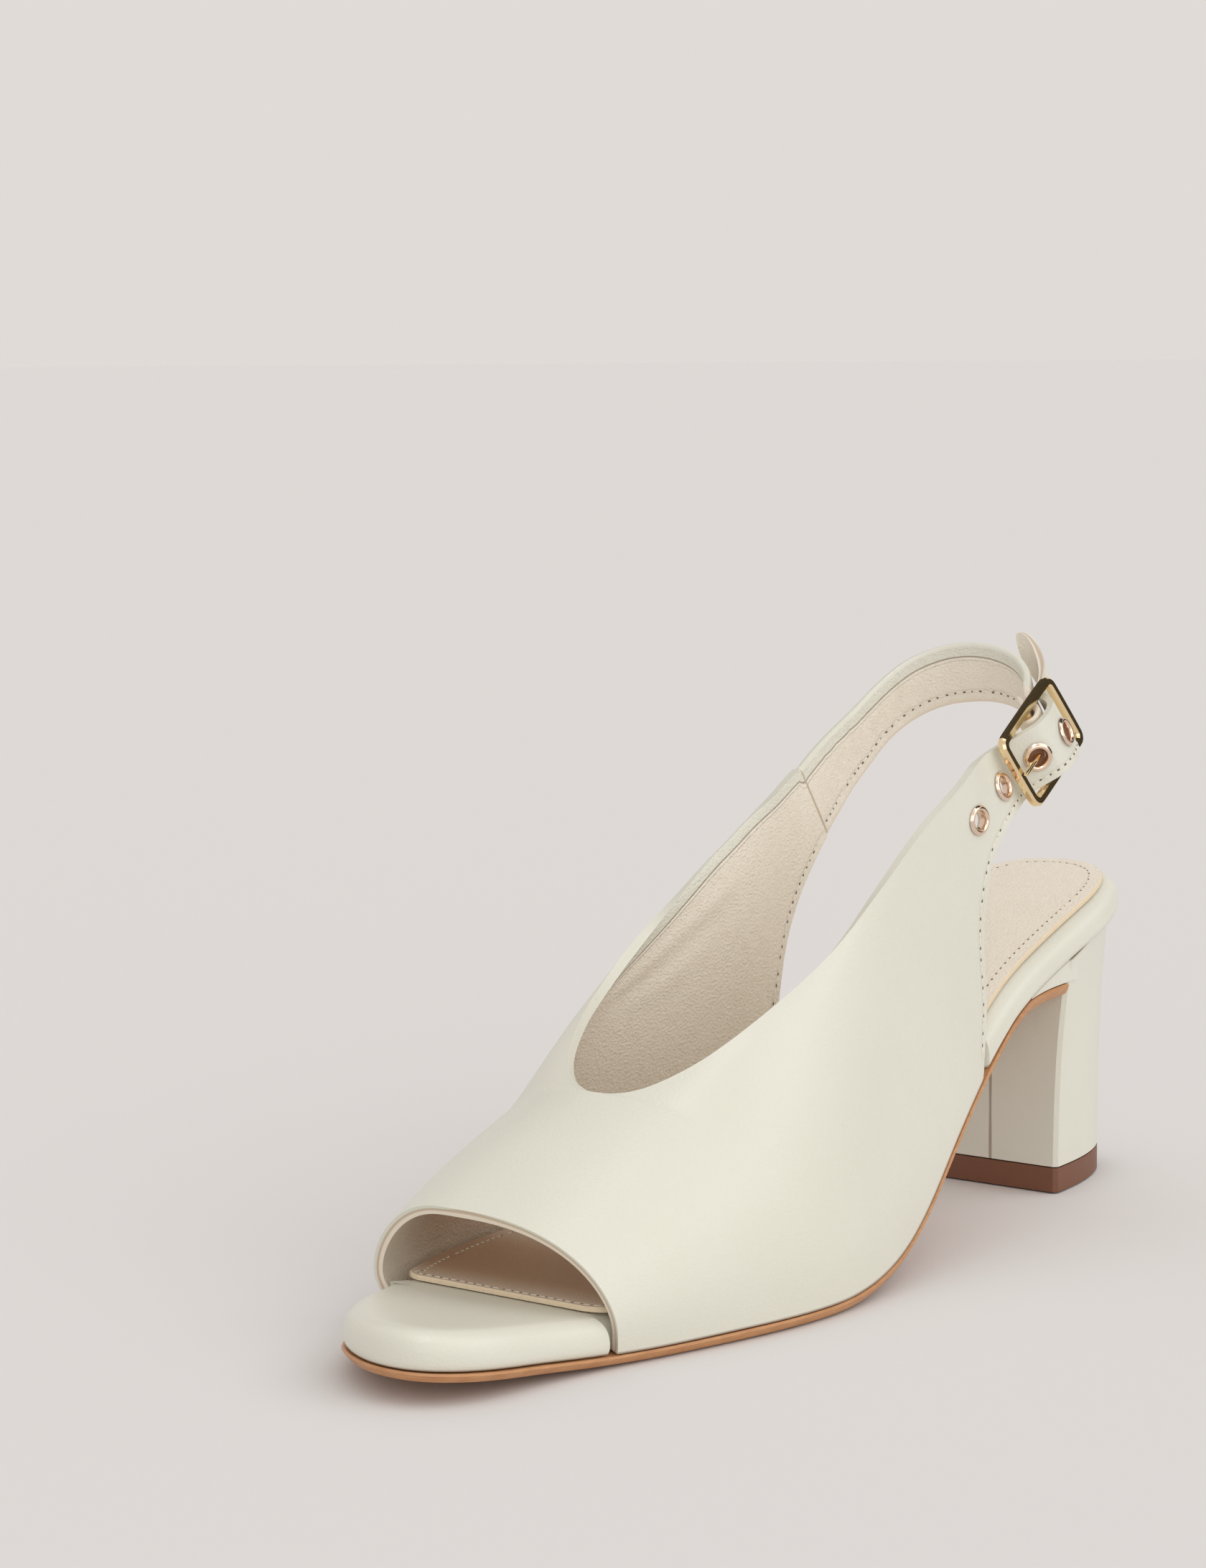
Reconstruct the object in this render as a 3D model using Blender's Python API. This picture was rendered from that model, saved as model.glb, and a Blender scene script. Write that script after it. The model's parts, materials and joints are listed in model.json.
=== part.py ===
"""Open-toed slingback sandal on a covered block heel: the left shoe of a pair.

All sizes are millimetres until an object is made, which turns them into metres.
X runs to the wearer's left (the outer side of this shoe), Y runs from the toe to the heel,
and Z is up. The shoe stands on the flat of its forefoot and on its top piece, both at Z = 0.
"""

import math

import bmesh
import bpy
from mathutils import Vector

MM = 0.001

# Driving sizes
TOE_TIP_Y = -127.0
HEEL_BACK_Y = 121.5
TOE_ROUND_Y = -100.0
HEEL_ROUND_Y = 92.0
TOE_SQUARENESS = 2.3
HEEL_SQUARENESS = 2.2
GAP = 0.3

OUTSOLE_END_Y = 83.7
UPPER_WALL = 2.0
STRAP_WALL = 1.5
UPPER_SETBACK = 0.5
SOCK_THICKNESS = 1.0
SOCK_FRONT_Y = -86.6
SOCK_BORDER = 4.0
RIM_ROUND = 4.0

BREAST_Y = 84.0
TOP_PIECE_THICKNESS = 5.5
HEEL_CENTRE_X = 7.3
HEEL_BACK_SQUARENESS = 2.15

BUCKLE_LENGTH = 30.6
BUCKLE_WIDTH = 18.8
BUCKLE_BAR = 2.3
BUCKLE_DEPTH = 2.0
BUCKLE_CORNER = 3.2
CENTRE_BAR_RADIUS = 0.9
PRONG_RADIUS = 0.65

EYELET_RIM_RADIUS = 3.4
EYELET_HOLE_RADIUS = 2.0
EYELET_BARREL_RADIUS = 2.3
EYELET_SPACING = 10.0
PRONG_EYELET_ALONG = -8.0

# The centre of the shoe's box, taken off every point so that the origin lies under it
BOX_CENTRE_X = 2.98
BOX_CENTRE_Y = -2.7

# Outline of the sole seen from above: where its two edges lie at each station
OUTLINE_COLUMNS = ("y", "medial", "lateral")
OUTLINE = (
    (-127.0, -10.5, 23.5),
    (-118.0, -16.0, 23.3),
    (-111.0, -18.6, 22.9),
    (-103.0, -21.8, 22.9),
    (-97.0, -24.2, 24.0),
    (-85.0, -28.4, 26.9),
    (-74.0, -31.6, 30.6),
    (-60.0, -33.8, 35.0),
    (-45.0, -34.6, 39.0),
    (-30.0, -32.8, 41.2),
    (-18.0, -29.0, 41.2),
    (-5.0, -24.0, 39.8),
    (10.0, -18.3, 37.0),
    (30.0, -13.4, 33.0),
    (50.0, -12.0, 29.9),
    (70.0, -12.9, 28.7),
    (90.0, -14.2, 28.9),
    (122.0, -16.0, 30.5),
)

# Side profile: underside and top of the outsole, underside and top of the footbed
PROFILE_COLUMNS = ("y", "sole_under", "sole_top", "bed_under", "bed_top")
PROFILE = (
    (-127.0, 4.6, 6.3, 6.6, 14.2),
    (-112.0, 3.0, 4.7, 5.0, 12.3),
    (-100.0, 1.7, 3.4, 3.7, 10.8),
    (-88.0, 0.5, 2.2, 2.5, 9.5),
    (-76.0, 0.0, 1.8, 2.1, 9.0),
    (-55.0, 0.0, 1.9, 2.2, 9.0),
    (-28.0, 0.0, 2.0, 2.3, 9.2),
    (-18.0, 0.9, 2.9, 3.2, 10.2),
    (-10.0, 2.3, 4.3, 4.6, 11.7),
    (0.0, 5.3, 7.3, 7.6, 14.8),
    (10.0, 9.8, 11.8, 12.1, 19.3),
    (20.0, 16.0, 18.1, 18.4, 25.6),
    (30.0, 22.8, 24.9, 25.2, 32.5),
    (40.0, 29.4, 31.6, 31.9, 39.2),
    (50.0, 35.6, 37.9, 38.2, 45.4),
    (58.0, 40.1, 42.7, 43.1, 50.0),
    (66.0, 43.4, 46.0, 46.8, 53.5),
    (74.0, 44.9, 47.4, 49.8, 56.4),
    (84.0, 45.6, 48.0, 53.4, 60.0),
    (96.0, 46.0, 48.4, 57.3, 64.1),
    (108.0, 46.0, 48.4, 60.3, 67.4),
    (122.0, 46.0, 48.4, 62.2, 70.0),
)

# The covered block heel, bottom to top: half width, and how far back it reaches
HEEL_COLUMNS = ("level", "half_width", "back_y")
HEEL = (
    (0.0, 17.2, 121.4),
    (0.25, 17.4, 121.4),
    (0.5, 17.9, 121.4),
    (0.75, 18.9, 121.5),
    (1.0, 20.6, 121.6),
)

# The upper's outer face, a row per section from the open toe back. Each section stands on the
# sole's edge at "low_y" and runs up to the crown, and past the open throat to the throat line.
SECTION_COLUMNS = ("low_y", "top_x", "top_y", "top_z", "fullness", "bulge")
LATERAL_SECTIONS = (
    (-84.0, -8.0, -91.0, 27.0, 2.5, 1.4),
    (-72.0, -6.5, -82.0, 31.6, 2.5, 1.4),
    (-58.0, -4.0, -71.0, 37.4, 2.5, 1.2),
    (-45.0, 0.0, -57.0, 44.6, 2.4, 1.2),
    (-35.0, 6.0, -55.2, 44.6, 2.35, 1.2),
    (-25.0, 11.5, -51.6, 46.2, 2.3, 1.2),
    (-15.5, 17.0, -44.0, 50.0, 2.25, 1.2),
    (-6.0, 21.0, -35.5, 54.8, 2.2, 1.0),
    (3.0, 24.0, -25.5, 60.2, 2.15, 0.8),
    (12.0, 26.2, -15.5, 65.6, 2.1, 0.6),
    (21.0, 27.5, -6.5, 71.2, 2.05, 0.4),
    (30.0, 28.3, 1.0, 76.6, 2.0, 0.2),
    (37.0, 28.8, 7.5, 81.2, 2.0, 0.2),
    (42.6, 29.0, 13.0, 85.0, 2.0, 0.2),
)
MEDIAL_SECTIONS = (
    (-83.8, -8.0, -91.0, 27.0, 2.5, 4.2),
    (-73.0, -6.5, -82.0, 31.6, 2.5, 3.4),
    (-60.0, -4.0, -71.0, 37.4, 2.5, 2.6),
    (-47.0, 0.0, -57.0, 44.6, 2.4, 2.0),
    (-38.0, -6.0, -54.4, 46.2, 2.35, 1.8),
    (-29.5, -11.5, -48.4, 49.6, 2.3, 1.6),
    (-21.5, -15.6, -38.5, 55.0, 2.25, 1.4),
    (-14.0, -18.0, -28.0, 60.2, 2.2, 1.6),
    (-6.5, -19.2, -19.0, 65.0, 2.15, 1.8),
    (1.0, -19.6, -11.0, 69.2, 2.1, 2.0),
    (8.5, -19.4, -4.5, 72.6, 2.0, 2.2),
    (16.0, -19.0, 1.5, 76.0, 2.0, 2.2),
    (23.0, -18.6, 6.5, 79.0, 2.0, 2.0),
    (28.8, -18.2, 10.5, 81.4, 2.0, 1.8),
)
# Past the corner where the sole edge turns into the rear edge, up to the strap and the seam
WING_COLUMNS = ("low_x", "low_y", "low_z", "top_x", "top_y", "top_z", "fullness", "bulge")
LATERAL_WING = (
    (29.9, 43.6, 37.6, 29.1, 18.0, 88.2, 2.0, 0.2),
    (29.8, 44.8, 48.0, 29.3, 23.0, 91.2, 1.8, 0.2),
    (30.0, 43.6, 58.0, 29.5, 28.0, 93.9, 1.6, 0.2),
    (30.6, 42.4, 68.0, 29.7, 32.5, 96.4, 1.4, 0.2),
    (31.2, 43.4, 77.5, 29.8, 37.0, 99.0, 1.2, 0.1),
    (31.5, 46.6, 84.0, 29.4, 41.2, 101.4, 1.0, 0.0),
)
MEDIAL_WING = (
    (-13.6, 29.4, 29.0, -17.9, 13.5, 83.0, 2.0, 1.4),
    (-13.7, 28.2, 38.0, -17.5, 18.0, 85.6, 1.9, 1.0),
    (-14.2, 28.4, 48.0, -17.2, 22.5, 88.1, 1.8, 0.6),
    (-15.0, 31.2, 57.5, -17.0, 27.0, 90.5, 1.6, 0.4),
    (-15.4, 35.4, 65.6, -16.9, 31.2, 92.6, 1.4, 0.2),
    (-14.9, 40.0, 73.4, -17.1, 35.0, 94.5, 1.2, 0.0),
    (-14.6, 44.4, 78.6, -17.4, 38.4, 96.0, 1.0, 0.0),
    (-14.9, 48.2, 82.0, -17.7, 41.4, 97.2, 1.0, 0.0),
)
# The rows of the two halves that share the crown line, before the throat opens
SHARED_ROWS = 4

# Buckle: centre, the way along the strap and the way across it
BUCKLE_CENTRE = Vector((30.0, 66.9, 103.8))
BUCKLE_ALONG = Vector((-0.129, 0.900, 0.418)).normalized()
BUCKLE_ACROSS = Vector((-0.214, -0.524, 0.824)).normalized()

# The punched strap where it threads the buckle: place along it, height above it, width, wall
THREAD_COLUMNS = ("along", "out", "shift", "width", "wall")
THREAD = (
    (-20.0, -3.3, 0.9, 15.6, 1.8),
    (-16.5, -3.2, 0.6, 15.0, 1.5),
    (-13.0, -3.0, 0.2, 14.0, 1.5),
    (-11.2, -2.4, 0.0, 13.4, 1.5),
    (-9.4, -0.8, 0.0, 13.2, 1.5),
    (-7.6, 1.5, 0.0, 13.2, 1.5),
    (-5.8, 3.5, 0.0, 13.2, 1.5),
    (-3.5, 4.4, 0.0, 13.2, 1.5),
    (0.0, 4.8, 0.0, 13.2, 1.5),
    (5.5, 3.6, 0.0, 13.2, 1.5),
    (9.5, 0.4, 0.0, 13.0, 1.5),
    (13.0, -2.8, 0.0, 13.0, 1.5),
    (16.0, -3.4, 0.0, 13.0, 1.5),
)
# Eyelets: one before the buckle, two inside it, and one more on the wing
EYELETS_ALONG = (
    PRONG_EYELET_ALONG - EYELET_SPACING, PRONG_EYELET_ALONG, PRONG_EYELET_ALONG + EYELET_SPACING
)
THREAD_ROWS = 22
WING_EYELET = Vector((30.4, 39.8, 89.6))
# The loose tail behind the buckle: centre, width
TAIL_COLUMNS = ("x", "y", "z", "width")
TAIL = (
    (24.4, 84.2, 112.0, 13.1),
    (21.2, 87.6, 114.6, 13.0),
    (17.6, 90.2, 117.2, 12.6),
    (14.4, 91.9, 119.2, 11.4),
    (12.0, 92.7, 120.6, 9.4),
    (10.4, 93.0, 121.5, 6.4),
    (9.8, 93.1, 121.9, 3.0),
)

# The sling strap from the seam on the medial wing, round the heel: its lower and upper edge
STRAP_COLUMNS = ("low_x", "low_y", "low_z", "top_x", "top_y", "top_z")
STRAP = (
    (-13.9, 48.8, 82.4, -16.7, 42.0, 97.5),
    (-14.9, 55.0, 86.2, -17.9, 50.0, 100.9),
    (-15.9, 62.0, 90.6, -18.3, 58.0, 104.5),
    (-16.5, 69.5, 94.8, -18.1, 66.5, 108.4),
    (-15.4, 77.0, 100.6, -16.4, 74.5, 113.8),
    (-12.2, 83.0, 105.0, -12.8, 81.0, 118.6),
    (-6.4, 86.8, 108.0, -6.6, 85.4, 121.6),
    (0.6, 88.6, 109.2, 0.4, 87.2, 122.6),
    (7.6, 88.4, 109.2, 7.0, 87.0, 122.0),
    (13.8, 86.9, 107.8, 13.0, 85.0, 120.4),
    (18.8, 84.2, 105.6, 17.6, 81.4, 117.8),
    (22.4, 81.4, 103.2, 20.4, 76.6, 115.2),
)
# The same strap as it comes up under the tail to the centre bar
STRAP_AT_BUCKLE_COLUMNS = ("along", "out")
STRAP_AT_BUCKLE = (
    (12.4, -5.4),
    (10.0, -3.7),
    (7.6, -1.9),
    (5.2, -0.2),
    (2.8, 1.3),
)
# and after its fold round the bar, back under itself to its stitched end
STRAP_FOLDED_BACK = (
    (2.4, -2.2),
    (5.0, -2.9),
    (7.6, -4.2),
    (10.0, -5.9),
    (12.4, -7.6),
)
STRAP_THICKNESS = 1.8
FOLD_WALL = 1.4
PRONG_SLOT = 2.1


# Tables and curves


def column(table, columns, name):
    """One named column of a table."""
    place = columns.index(name)
    return [row[place] for row in table]


def smooth(at, places, values, corner=None):
    """A smooth curve through the values, which may turn sharply at one place, the corner."""
    last = len(places) - 1
    if at <= places[0]:
        return values[0]
    if at >= places[last]:
        return values[last]
    i = next(k for k in range(last) if at <= places[k + 1])
    step = places[i + 1] - places[i]
    slopes = []
    for k in (i, i + 1):
        before = i if k == corner and k == i else max(k - 1, 0)
        after = i + 1 if k == corner and k == i + 1 else min(k + 1, last)
        slopes.append((values[after] - values[before]) / (places[after] - places[before]))
    t = (at - places[i]) / step
    start = values[i] * (2 * t**3 - 3 * t**2 + 1) + slopes[0] * step * (t**3 - 2 * t**2 + t)
    end = values[i + 1] * (3 * t**2 - 2 * t**3) + slopes[1] * step * (t**3 - t**2)
    return start + end


def look_up(table, columns, name, at):
    """The smooth value of a named column at a place in the table's first column."""
    return smooth(at, column(table, columns, columns[0]), column(table, columns, name))


def profile(name, y):
    """A height of the side profile at y, never under the floor."""
    return max(look_up(PROFILE, PROFILE_COLUMNS, name, y), 0.0)


def blend(start, end, share):
    """A share of the way from one number or vector to another."""
    return start * (1 - share) + end * share


def ease(at, start, end):
    """0 before start, 1 after end, and a soft step between."""
    t = min(max((at - start) / (end - start), 0.0), 1.0)
    return t * t * (3 - 2 * t)


# Outline of the sole


def rounding(y):
    """How much of the full width is left at y, as the toe and the heel close."""
    if y < TOE_ROUND_Y:
        part = min((TOE_ROUND_Y - y) / (TOE_ROUND_Y - TOE_TIP_Y), 1.0)
        return (1 - part**TOE_SQUARENESS) ** (1 / TOE_SQUARENESS)
    if y > HEEL_ROUND_Y:
        part = min((y - HEEL_ROUND_Y) / (HEEL_BACK_Y - HEEL_ROUND_Y), 1.0)
        return (1 - part**HEEL_SQUARENESS) ** (1 / HEEL_SQUARENESS)
    return 1.0


def edges_at(y):
    """The medial and lateral edge of the sole at y."""
    medial = look_up(OUTLINE, OUTLINE_COLUMNS, "medial", y)
    lateral = look_up(OUTLINE, OUTLINE_COLUMNS, "lateral", y)
    middle = (medial + lateral) / 2
    half = (lateral - medial) / 2 * rounding(y)
    return middle - half, middle + half


def spread(start, end, count, round_start=False, round_end=False):
    """Stations from start to end, closer together toward a rounded end."""
    stations = []
    for k in range(count + 1):
        t = k / count
        if round_start and round_end:
            t = (1 - math.cos(math.pi * t)) / 2
        elif round_start:
            t = 1 - math.cos(math.pi * t / 2)
        elif round_end:
            t = math.sin(math.pi * t / 2)
        stations.append(blend(start, end, t))
    return stations


def sole_stations(start=TOE_TIP_Y, end=HEEL_BACK_Y):
    """Stations along the sole, close together at a rounded toe or heel."""
    first = max(start, TOE_ROUND_Y)
    last = min(end, HEEL_ROUND_Y)
    stations = []
    if start < TOE_ROUND_Y:
        stations += spread(start, TOE_ROUND_Y, 9, round_start=True)[:-1]
    stations += spread(first, last, max(int((last - first) / 8), 2))
    if end > HEEL_ROUND_Y:
        stations += spread(HEEL_ROUND_Y, end, 9, round_end=True)[1:]
    return stations


def inward(line, other):
    """For each point of one side of a plan, the unit step toward the inside of the shape."""
    middle = (Vector(line[len(line) // 2]) + Vector(other[len(line) // 2])) / 2
    last = len(line) - 1
    steps = []
    for i, place in enumerate(line):
        here = Vector(place)
        tip = (here - Vector(other[i])).length < 0.5
        before = line[i - 1] if i else (other[1] if tip else place)
        after = line[i + 1] if i < last else (other[-2] if tip else place)
        along = Vector(after) - Vector(before)
        across = Vector((-along.y, along.x)).normalized()
        toward = middle - here if tip else Vector(other[i]) - here
        steps.append(across if across.dot(toward) > 0 else -across)
    return steps


# Meshes


def make_object(name, points, faces, colour, roughness=0.5, metallic=0.0, round_angle=40.0):
    """A closed, smooth-shaded mesh object from points in millimetres, with its own material."""
    mesh = bpy.data.meshes.new(name)
    moved = [
        ((p[0] - BOX_CENTRE_X) * MM, (p[1] - BOX_CENTRE_Y) * MM, p[2] * MM) for p in points
    ]
    mesh.from_pydata(moved, [], faces)
    work = bmesh.new()
    work.from_mesh(mesh)
    bmesh.ops.remove_doubles(work, verts=work.verts, dist=0.00002)
    bmesh.ops.recalc_face_normals(work, faces=work.faces)
    work.to_mesh(mesh)
    work.free()
    material = bpy.data.materials.new(name)
    material.use_nodes = True
    surface = material.node_tree.nodes["Principled BSDF"]
    surface.inputs["Base Color"].default_value = (*colour, 1.0)
    surface.inputs["Roughness"].default_value = roughness
    surface.inputs["Metallic"].default_value = metallic
    mesh.materials.append(material)
    mesh.shade_smooth()
    mesh.set_sharp_from_angle(angle=math.radians(round_angle))
    obj = bpy.data.objects.new(name, mesh)
    bpy.context.collection.objects.link(obj)
    return obj


def slab(name, medial, lateral, levels, colour, roughness=0.5):
    """A solid between two plan lines. Each level is an inset and a height for each y."""
    count = len(medial)
    steps = (inward(medial, lateral), inward(lateral, medial))
    points = []
    for inset, height in levels:
        for line, step in zip((medial, lateral), steps):
            for (x, y), to_inside in zip(line, step):
                x_in = x + to_inside.x * inset
                y_in = y + to_inside.y * inset
                points.append((x_in, y_in, height(y_in)))
    faces = []
    for level in range(len(levels) - 1):
        low = level * 2 * count
        high = low + 2 * count
        for i in range(count - 1):
            for line in (0, count):
                a = low + line + i
                b = high + line + i
                faces.append((a, a + 1, b + 1, b))
        for end in (0, count - 1):
            faces.append((low + end, low + count + end, high + count + end, high + end))
    top = (len(levels) - 1) * 2 * count
    for start in (0, top):
        for i in range(count - 1):
            faces.append((start + i, start + i + 1, start + count + i + 1, start + count + i))
    return make_object(name, points, faces, colour, roughness)


def loft(name, rings, colour, roughness=0.5, metallic=0.0, closed=False):
    """A solid through rings of equal count, capped at both ends unless it closes on itself."""
    count = len(rings[0])
    points = [point for ring in rings for point in ring]
    faces = []
    for r in range(len(rings) if closed else len(rings) - 1):
        here = r * count
        there = (r + 1) % len(rings) * count
        for i in range(count):
            j = (i + 1) % count
            faces.append((here + i, here + j, there + j, there + i))
    if not closed:
        faces.append(tuple(range(count)))
        faces.append(tuple(range(len(points) - count, len(points))))
    return make_object(name, points, faces, colour, roughness, metallic)


def apply_boolean(target, other, operation):
    """Joins or cuts the target with the other object, which is then removed."""
    modifier = target.modifiers.new(operation, "BOOLEAN")
    modifier.operation = operation
    modifier.solver = "EXACT"
    modifier.object = other
    graph = bpy.context.evaluated_depsgraph_get()
    result = bpy.data.meshes.new_from_object(target.evaluated_get(graph))
    target.modifiers.clear()
    old = target.data
    target.data = result
    bpy.data.meshes.remove(old)
    bpy.data.objects.remove(other)


# Pieces of the bottom


def plan_lines(stations, inset=lambda side, y: 0.0):
    """The medial and the lateral plan line through the stations, each drawn in by an inset."""
    medial = []
    lateral = []
    for y in stations:
        left, right = edges_at(y)
        room = (right - left) / 2
        medial.append((left + min(inset("medial", y), room), y))
        lateral.append((right - min(inset("lateral", y), room), y))
    return medial, lateral


def under_upper(side, y, depth):
    """A set-in of this depth where the upper stands on the sole's edge, and none elsewhere."""
    start = -85.7 if side == "lateral" else -84.7
    end = 44.4 if side == "lateral" else 30.6
    return depth * ease(y, start, start + 0.8) * (1 - ease(y, end, end + 0.8))


def with_stations(stations, extra):
    """The stations with more of them added, in order."""
    return sorted(set(stations) | set(extra))


LIP_STATIONS = (68.0, 70.0, 73.0, 76.0, 79.0, 82.0, 88.0)
COVER_ENDS = (-85.8, -84.8, -83.8, 29.6, 30.5, 31.6, 43.3, 44.3, 45.5)


def make_outsole():
    """Tan-edged leather outsole, which ends at the heel breast."""
    stations = with_stations(sole_stations(end=OUTSOLE_END_Y), LIP_STATIONS[:-1])
    medial, lateral = plan_lines(stations, lambda side, y: 1.0 * ease(y, 50, 66))
    levels = (
        (1.1, lambda y: profile("sole_under", y)),
        (0.6, lambda y: profile("sole_under", y) + 0.5),
        (0.0, lambda y: profile("sole_top", y) - 0.4),
        (0.4, lambda y: profile("sole_top", y)),
    )
    return slab("outsole", medial, lateral, levels, (0.55, 0.27, 0.12), 0.5)


def make_footbed():
    """Board and padding under one leather cover, with a rounded rim at the toe and the heel."""
    depth = UPPER_SETBACK + UPPER_WALL + GAP
    medial, lateral = plan_lines(
        with_stations(sole_stations(), COVER_ENDS),
        lambda side, y: 0.4 + under_upper(side, y, depth),
    )
    levels = (
        (0.7, lambda y: profile("bed_under", y)),
        (0.0, lambda y: profile("bed_under", y) + 0.9),
        (0.0, lambda y: profile("bed_top", y) - RIM_ROUND),
        (0.13 * RIM_ROUND, lambda y: profile("bed_top", y) - 0.55 * RIM_ROUND),
        (0.42 * RIM_ROUND, lambda y: profile("bed_top", y) - 0.22 * RIM_ROUND),
        (0.85 * RIM_ROUND, lambda y: profile("bed_top", y) - 0.04 * RIM_ROUND),
        (1.3 * RIM_ROUND, lambda y: profile("bed_top", y)),
    )
    return slab("footbed", medial, lateral, levels, (0.78, 0.74, 0.64), 0.45)


def make_sock_lining():
    """Thin lining glued on the footbed, cut straight across under the open toe."""
    depth = UPPER_SETBACK + UPPER_WALL + GAP + 0.6 - SOCK_BORDER
    stations = [y for y in sole_stations() if y > SOCK_FRONT_Y]
    stations = with_stations(stations, (SOCK_FRONT_Y, 43.3, 44.3, 45.5))
    medial, lateral = plan_lines(stations, lambda side, y: under_upper(side, y, depth))
    levels = (
        (SOCK_BORDER, lambda y: profile("bed_top", y) + GAP),
        (SOCK_BORDER, lambda y: profile("bed_top", y) + GAP + SOCK_THICKNESS - 0.3),
        (SOCK_BORDER + 0.3, lambda y: profile("bed_top", y) + GAP + SOCK_THICKNESS),
    )
    return slab("sock_lining", medial, lateral, levels, (0.66, 0.55, 0.44), 0.55)


def heel_lines(level):
    """The two plan lines of the block heel at a level from 0 (bottom) to 1 (seat)."""
    half = look_up(HEEL, HEEL_COLUMNS, "half_width", level)
    back = look_up(HEEL, HEEL_COLUMNS, "back_y", level)
    medial = []
    lateral = []
    for y in [BREAST_Y, BREAST_Y + 0.8] + spread(BREAST_Y, back, 13, round_end=True)[1:]:
        part = (y - BREAST_Y) / (back - BREAST_Y)
        width = half * (1 - part**HEEL_BACK_SQUARENESS) ** (1 / HEEL_BACK_SQUARENESS)
        if y == BREAST_Y:
            width -= 0.9
        medial.append((HEEL_CENTRE_X - width, y))
        lateral.append((HEEL_CENTRE_X + width, y))
    return medial, lateral


def heel_stack(name, rows, colour, roughness):
    """A solid through heel outlines: each row is a level of the outline and a height for each y."""
    points = []
    for level, height in rows:
        medial, lateral = heel_lines(level)
        for line in (medial, lateral):
            points += [(x, y, height(y)) for x, y in line]
    count = len(heel_lines(0)[0])
    faces = []
    for r in range(len(rows) - 1):
        low = r * 2 * count
        high = low + 2 * count
        for i in range(count - 1):
            for line in (0, count):
                faces.append((low + line + i, low + line + i + 1, high + line + i + 1, high + line + i))
        faces.append((low, low + count, high + count, high))
    for start in (0, (len(rows) - 1) * 2 * count):
        for i in range(count - 1):
            faces.append((start + i, start + i + 1, start + count + i + 1, start + count + i))
    return make_object(name, points, faces, colour, roughness)


def make_heel():
    """Leather-covered block with a lip that runs forward under the seat, and its top piece."""
    bottom = TOP_PIECE_THICKNESS + GAP

    def rise(level):
        return lambda y: blend(bottom, profile("bed_under", y) - GAP, level)

    rows = [(level, rise(level)) for level in (0.0, 0.125, 0.25, 0.375, 0.5, 0.625, 0.75, 0.875, 1.0)]
    block = heel_stack("heel_block", rows, (0.78, 0.74, 0.64), 0.45)
    medial, lateral = plan_lines(LIP_STATIONS, lambda side, y: 1.4)
    levels = (
        (0.0, lambda y: profile("sole_top", y) + GAP),
        (0.0, lambda y: profile("bed_under", y) - GAP),
    )
    lip = slab("heel_lip", medial, lateral, levels, (0.78, 0.74, 0.64))
    apply_boolean(block, lip, "UNION")
    block.data.shade_smooth()
    block.data.set_sharp_from_angle(angle=math.radians(40))
    rows = (
        (0.0, lambda y: 0.0),
        (0.0, lambda y: TOP_PIECE_THICKNESS),
    )
    heel_stack("top_piece", rows, (0.21, 0.09, 0.04), 0.6)
    return block


# The upper


def table_rows(table, columns, per_step, corner=None):
    """Named rows with smooth rows between them. Only "top" columns turn at the corner."""
    places = list(range(len(table)))
    rows = []
    for k in range(per_step * (len(table) - 1) + 1):
        row = {}
        for name in columns:
            turn = corner if name.startswith("top") else None
            row[name] = smooth(k / per_step, places, column(table, columns, name), turn)
        rows.append(row)
    return rows


def sole_section(side, row):
    """A row of the sections table with its foot placed on the edge of the sole."""
    medial, lateral = edges_at(row["low_y"])
    foot = lateral - UPPER_SETBACK if side == "lateral" else medial + UPPER_SETBACK
    return {**row, "low_x": foot, "low_z": profile("sole_top", row["low_y"]) + GAP}


def buckle_point(along, across, out):
    """A point in the buckle's own directions."""
    outward = BUCKLE_ALONG.cross(BUCKLE_ACROSS)
    return BUCKLE_CENTRE + BUCKLE_ALONG * along + BUCKLE_ACROSS * across + outward * out


def section_points(value, steps):
    """Points of one section of the upper, from its low edge to its top edge."""
    points = []
    for k in range(steps + 1):
        angle = math.pi / 2 * k / steps
        power = 2 / value["fullness"]
        level = math.sin(angle) ** power
        toward = 1 - math.cos(angle) ** power if k < steps else 1.0
        side = 1 if value["low_x"] > 0 else -1
        x = blend(value["low_x"], value["top_x"], toward)
        x += side * value["bulge"] * math.sin(math.pi * level**0.6)
        y = blend(value["low_y"], value["top_y"], blend(level, toward, 0.35))
        z = blend(value["low_z"], value["top_z"], level)
        points.append(Vector((x, y, z)))
    return points


def strap_rows(steps):
    """The punched strap past the lateral wing: rows of points and the wall of each row."""
    rows = []
    walls = []
    places = column(THREAD, THREAD_COLUMNS, "along")
    for k in range(THREAD_ROWS + 1):
        along = blend(places[0], places[-1], k / THREAD_ROWS)
        out = look_up(THREAD, THREAD_COLUMNS, "out", along)
        shift = look_up(THREAD, THREAD_COLUMNS, "shift", along)
        width = look_up(THREAD, THREAD_COLUMNS, "width", along)
        wall = look_up(THREAD, THREAD_COLUMNS, "wall", along)
        across = [shift + width * (i / steps - 0.5) for i in range(steps + 1)]
        rows.append([buckle_point(along, place, out + wall / 2) for place in across])
        walls.append(wall)
    last_across = BUCKLE_ACROSS
    for i, (x, y, z, width) in enumerate(TAIL):
        share = ease(i, -1, 3)
        across = blend(last_across, Vector((-0.30, 0.05, 0.95)), share).normalized()
        centre = Vector((x, y, z))
        rows.append([centre + across * width * (k / steps - 0.5) for k in range(steps + 1)])
        walls.append(STRAP_WALL)
    return rows, walls


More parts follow.
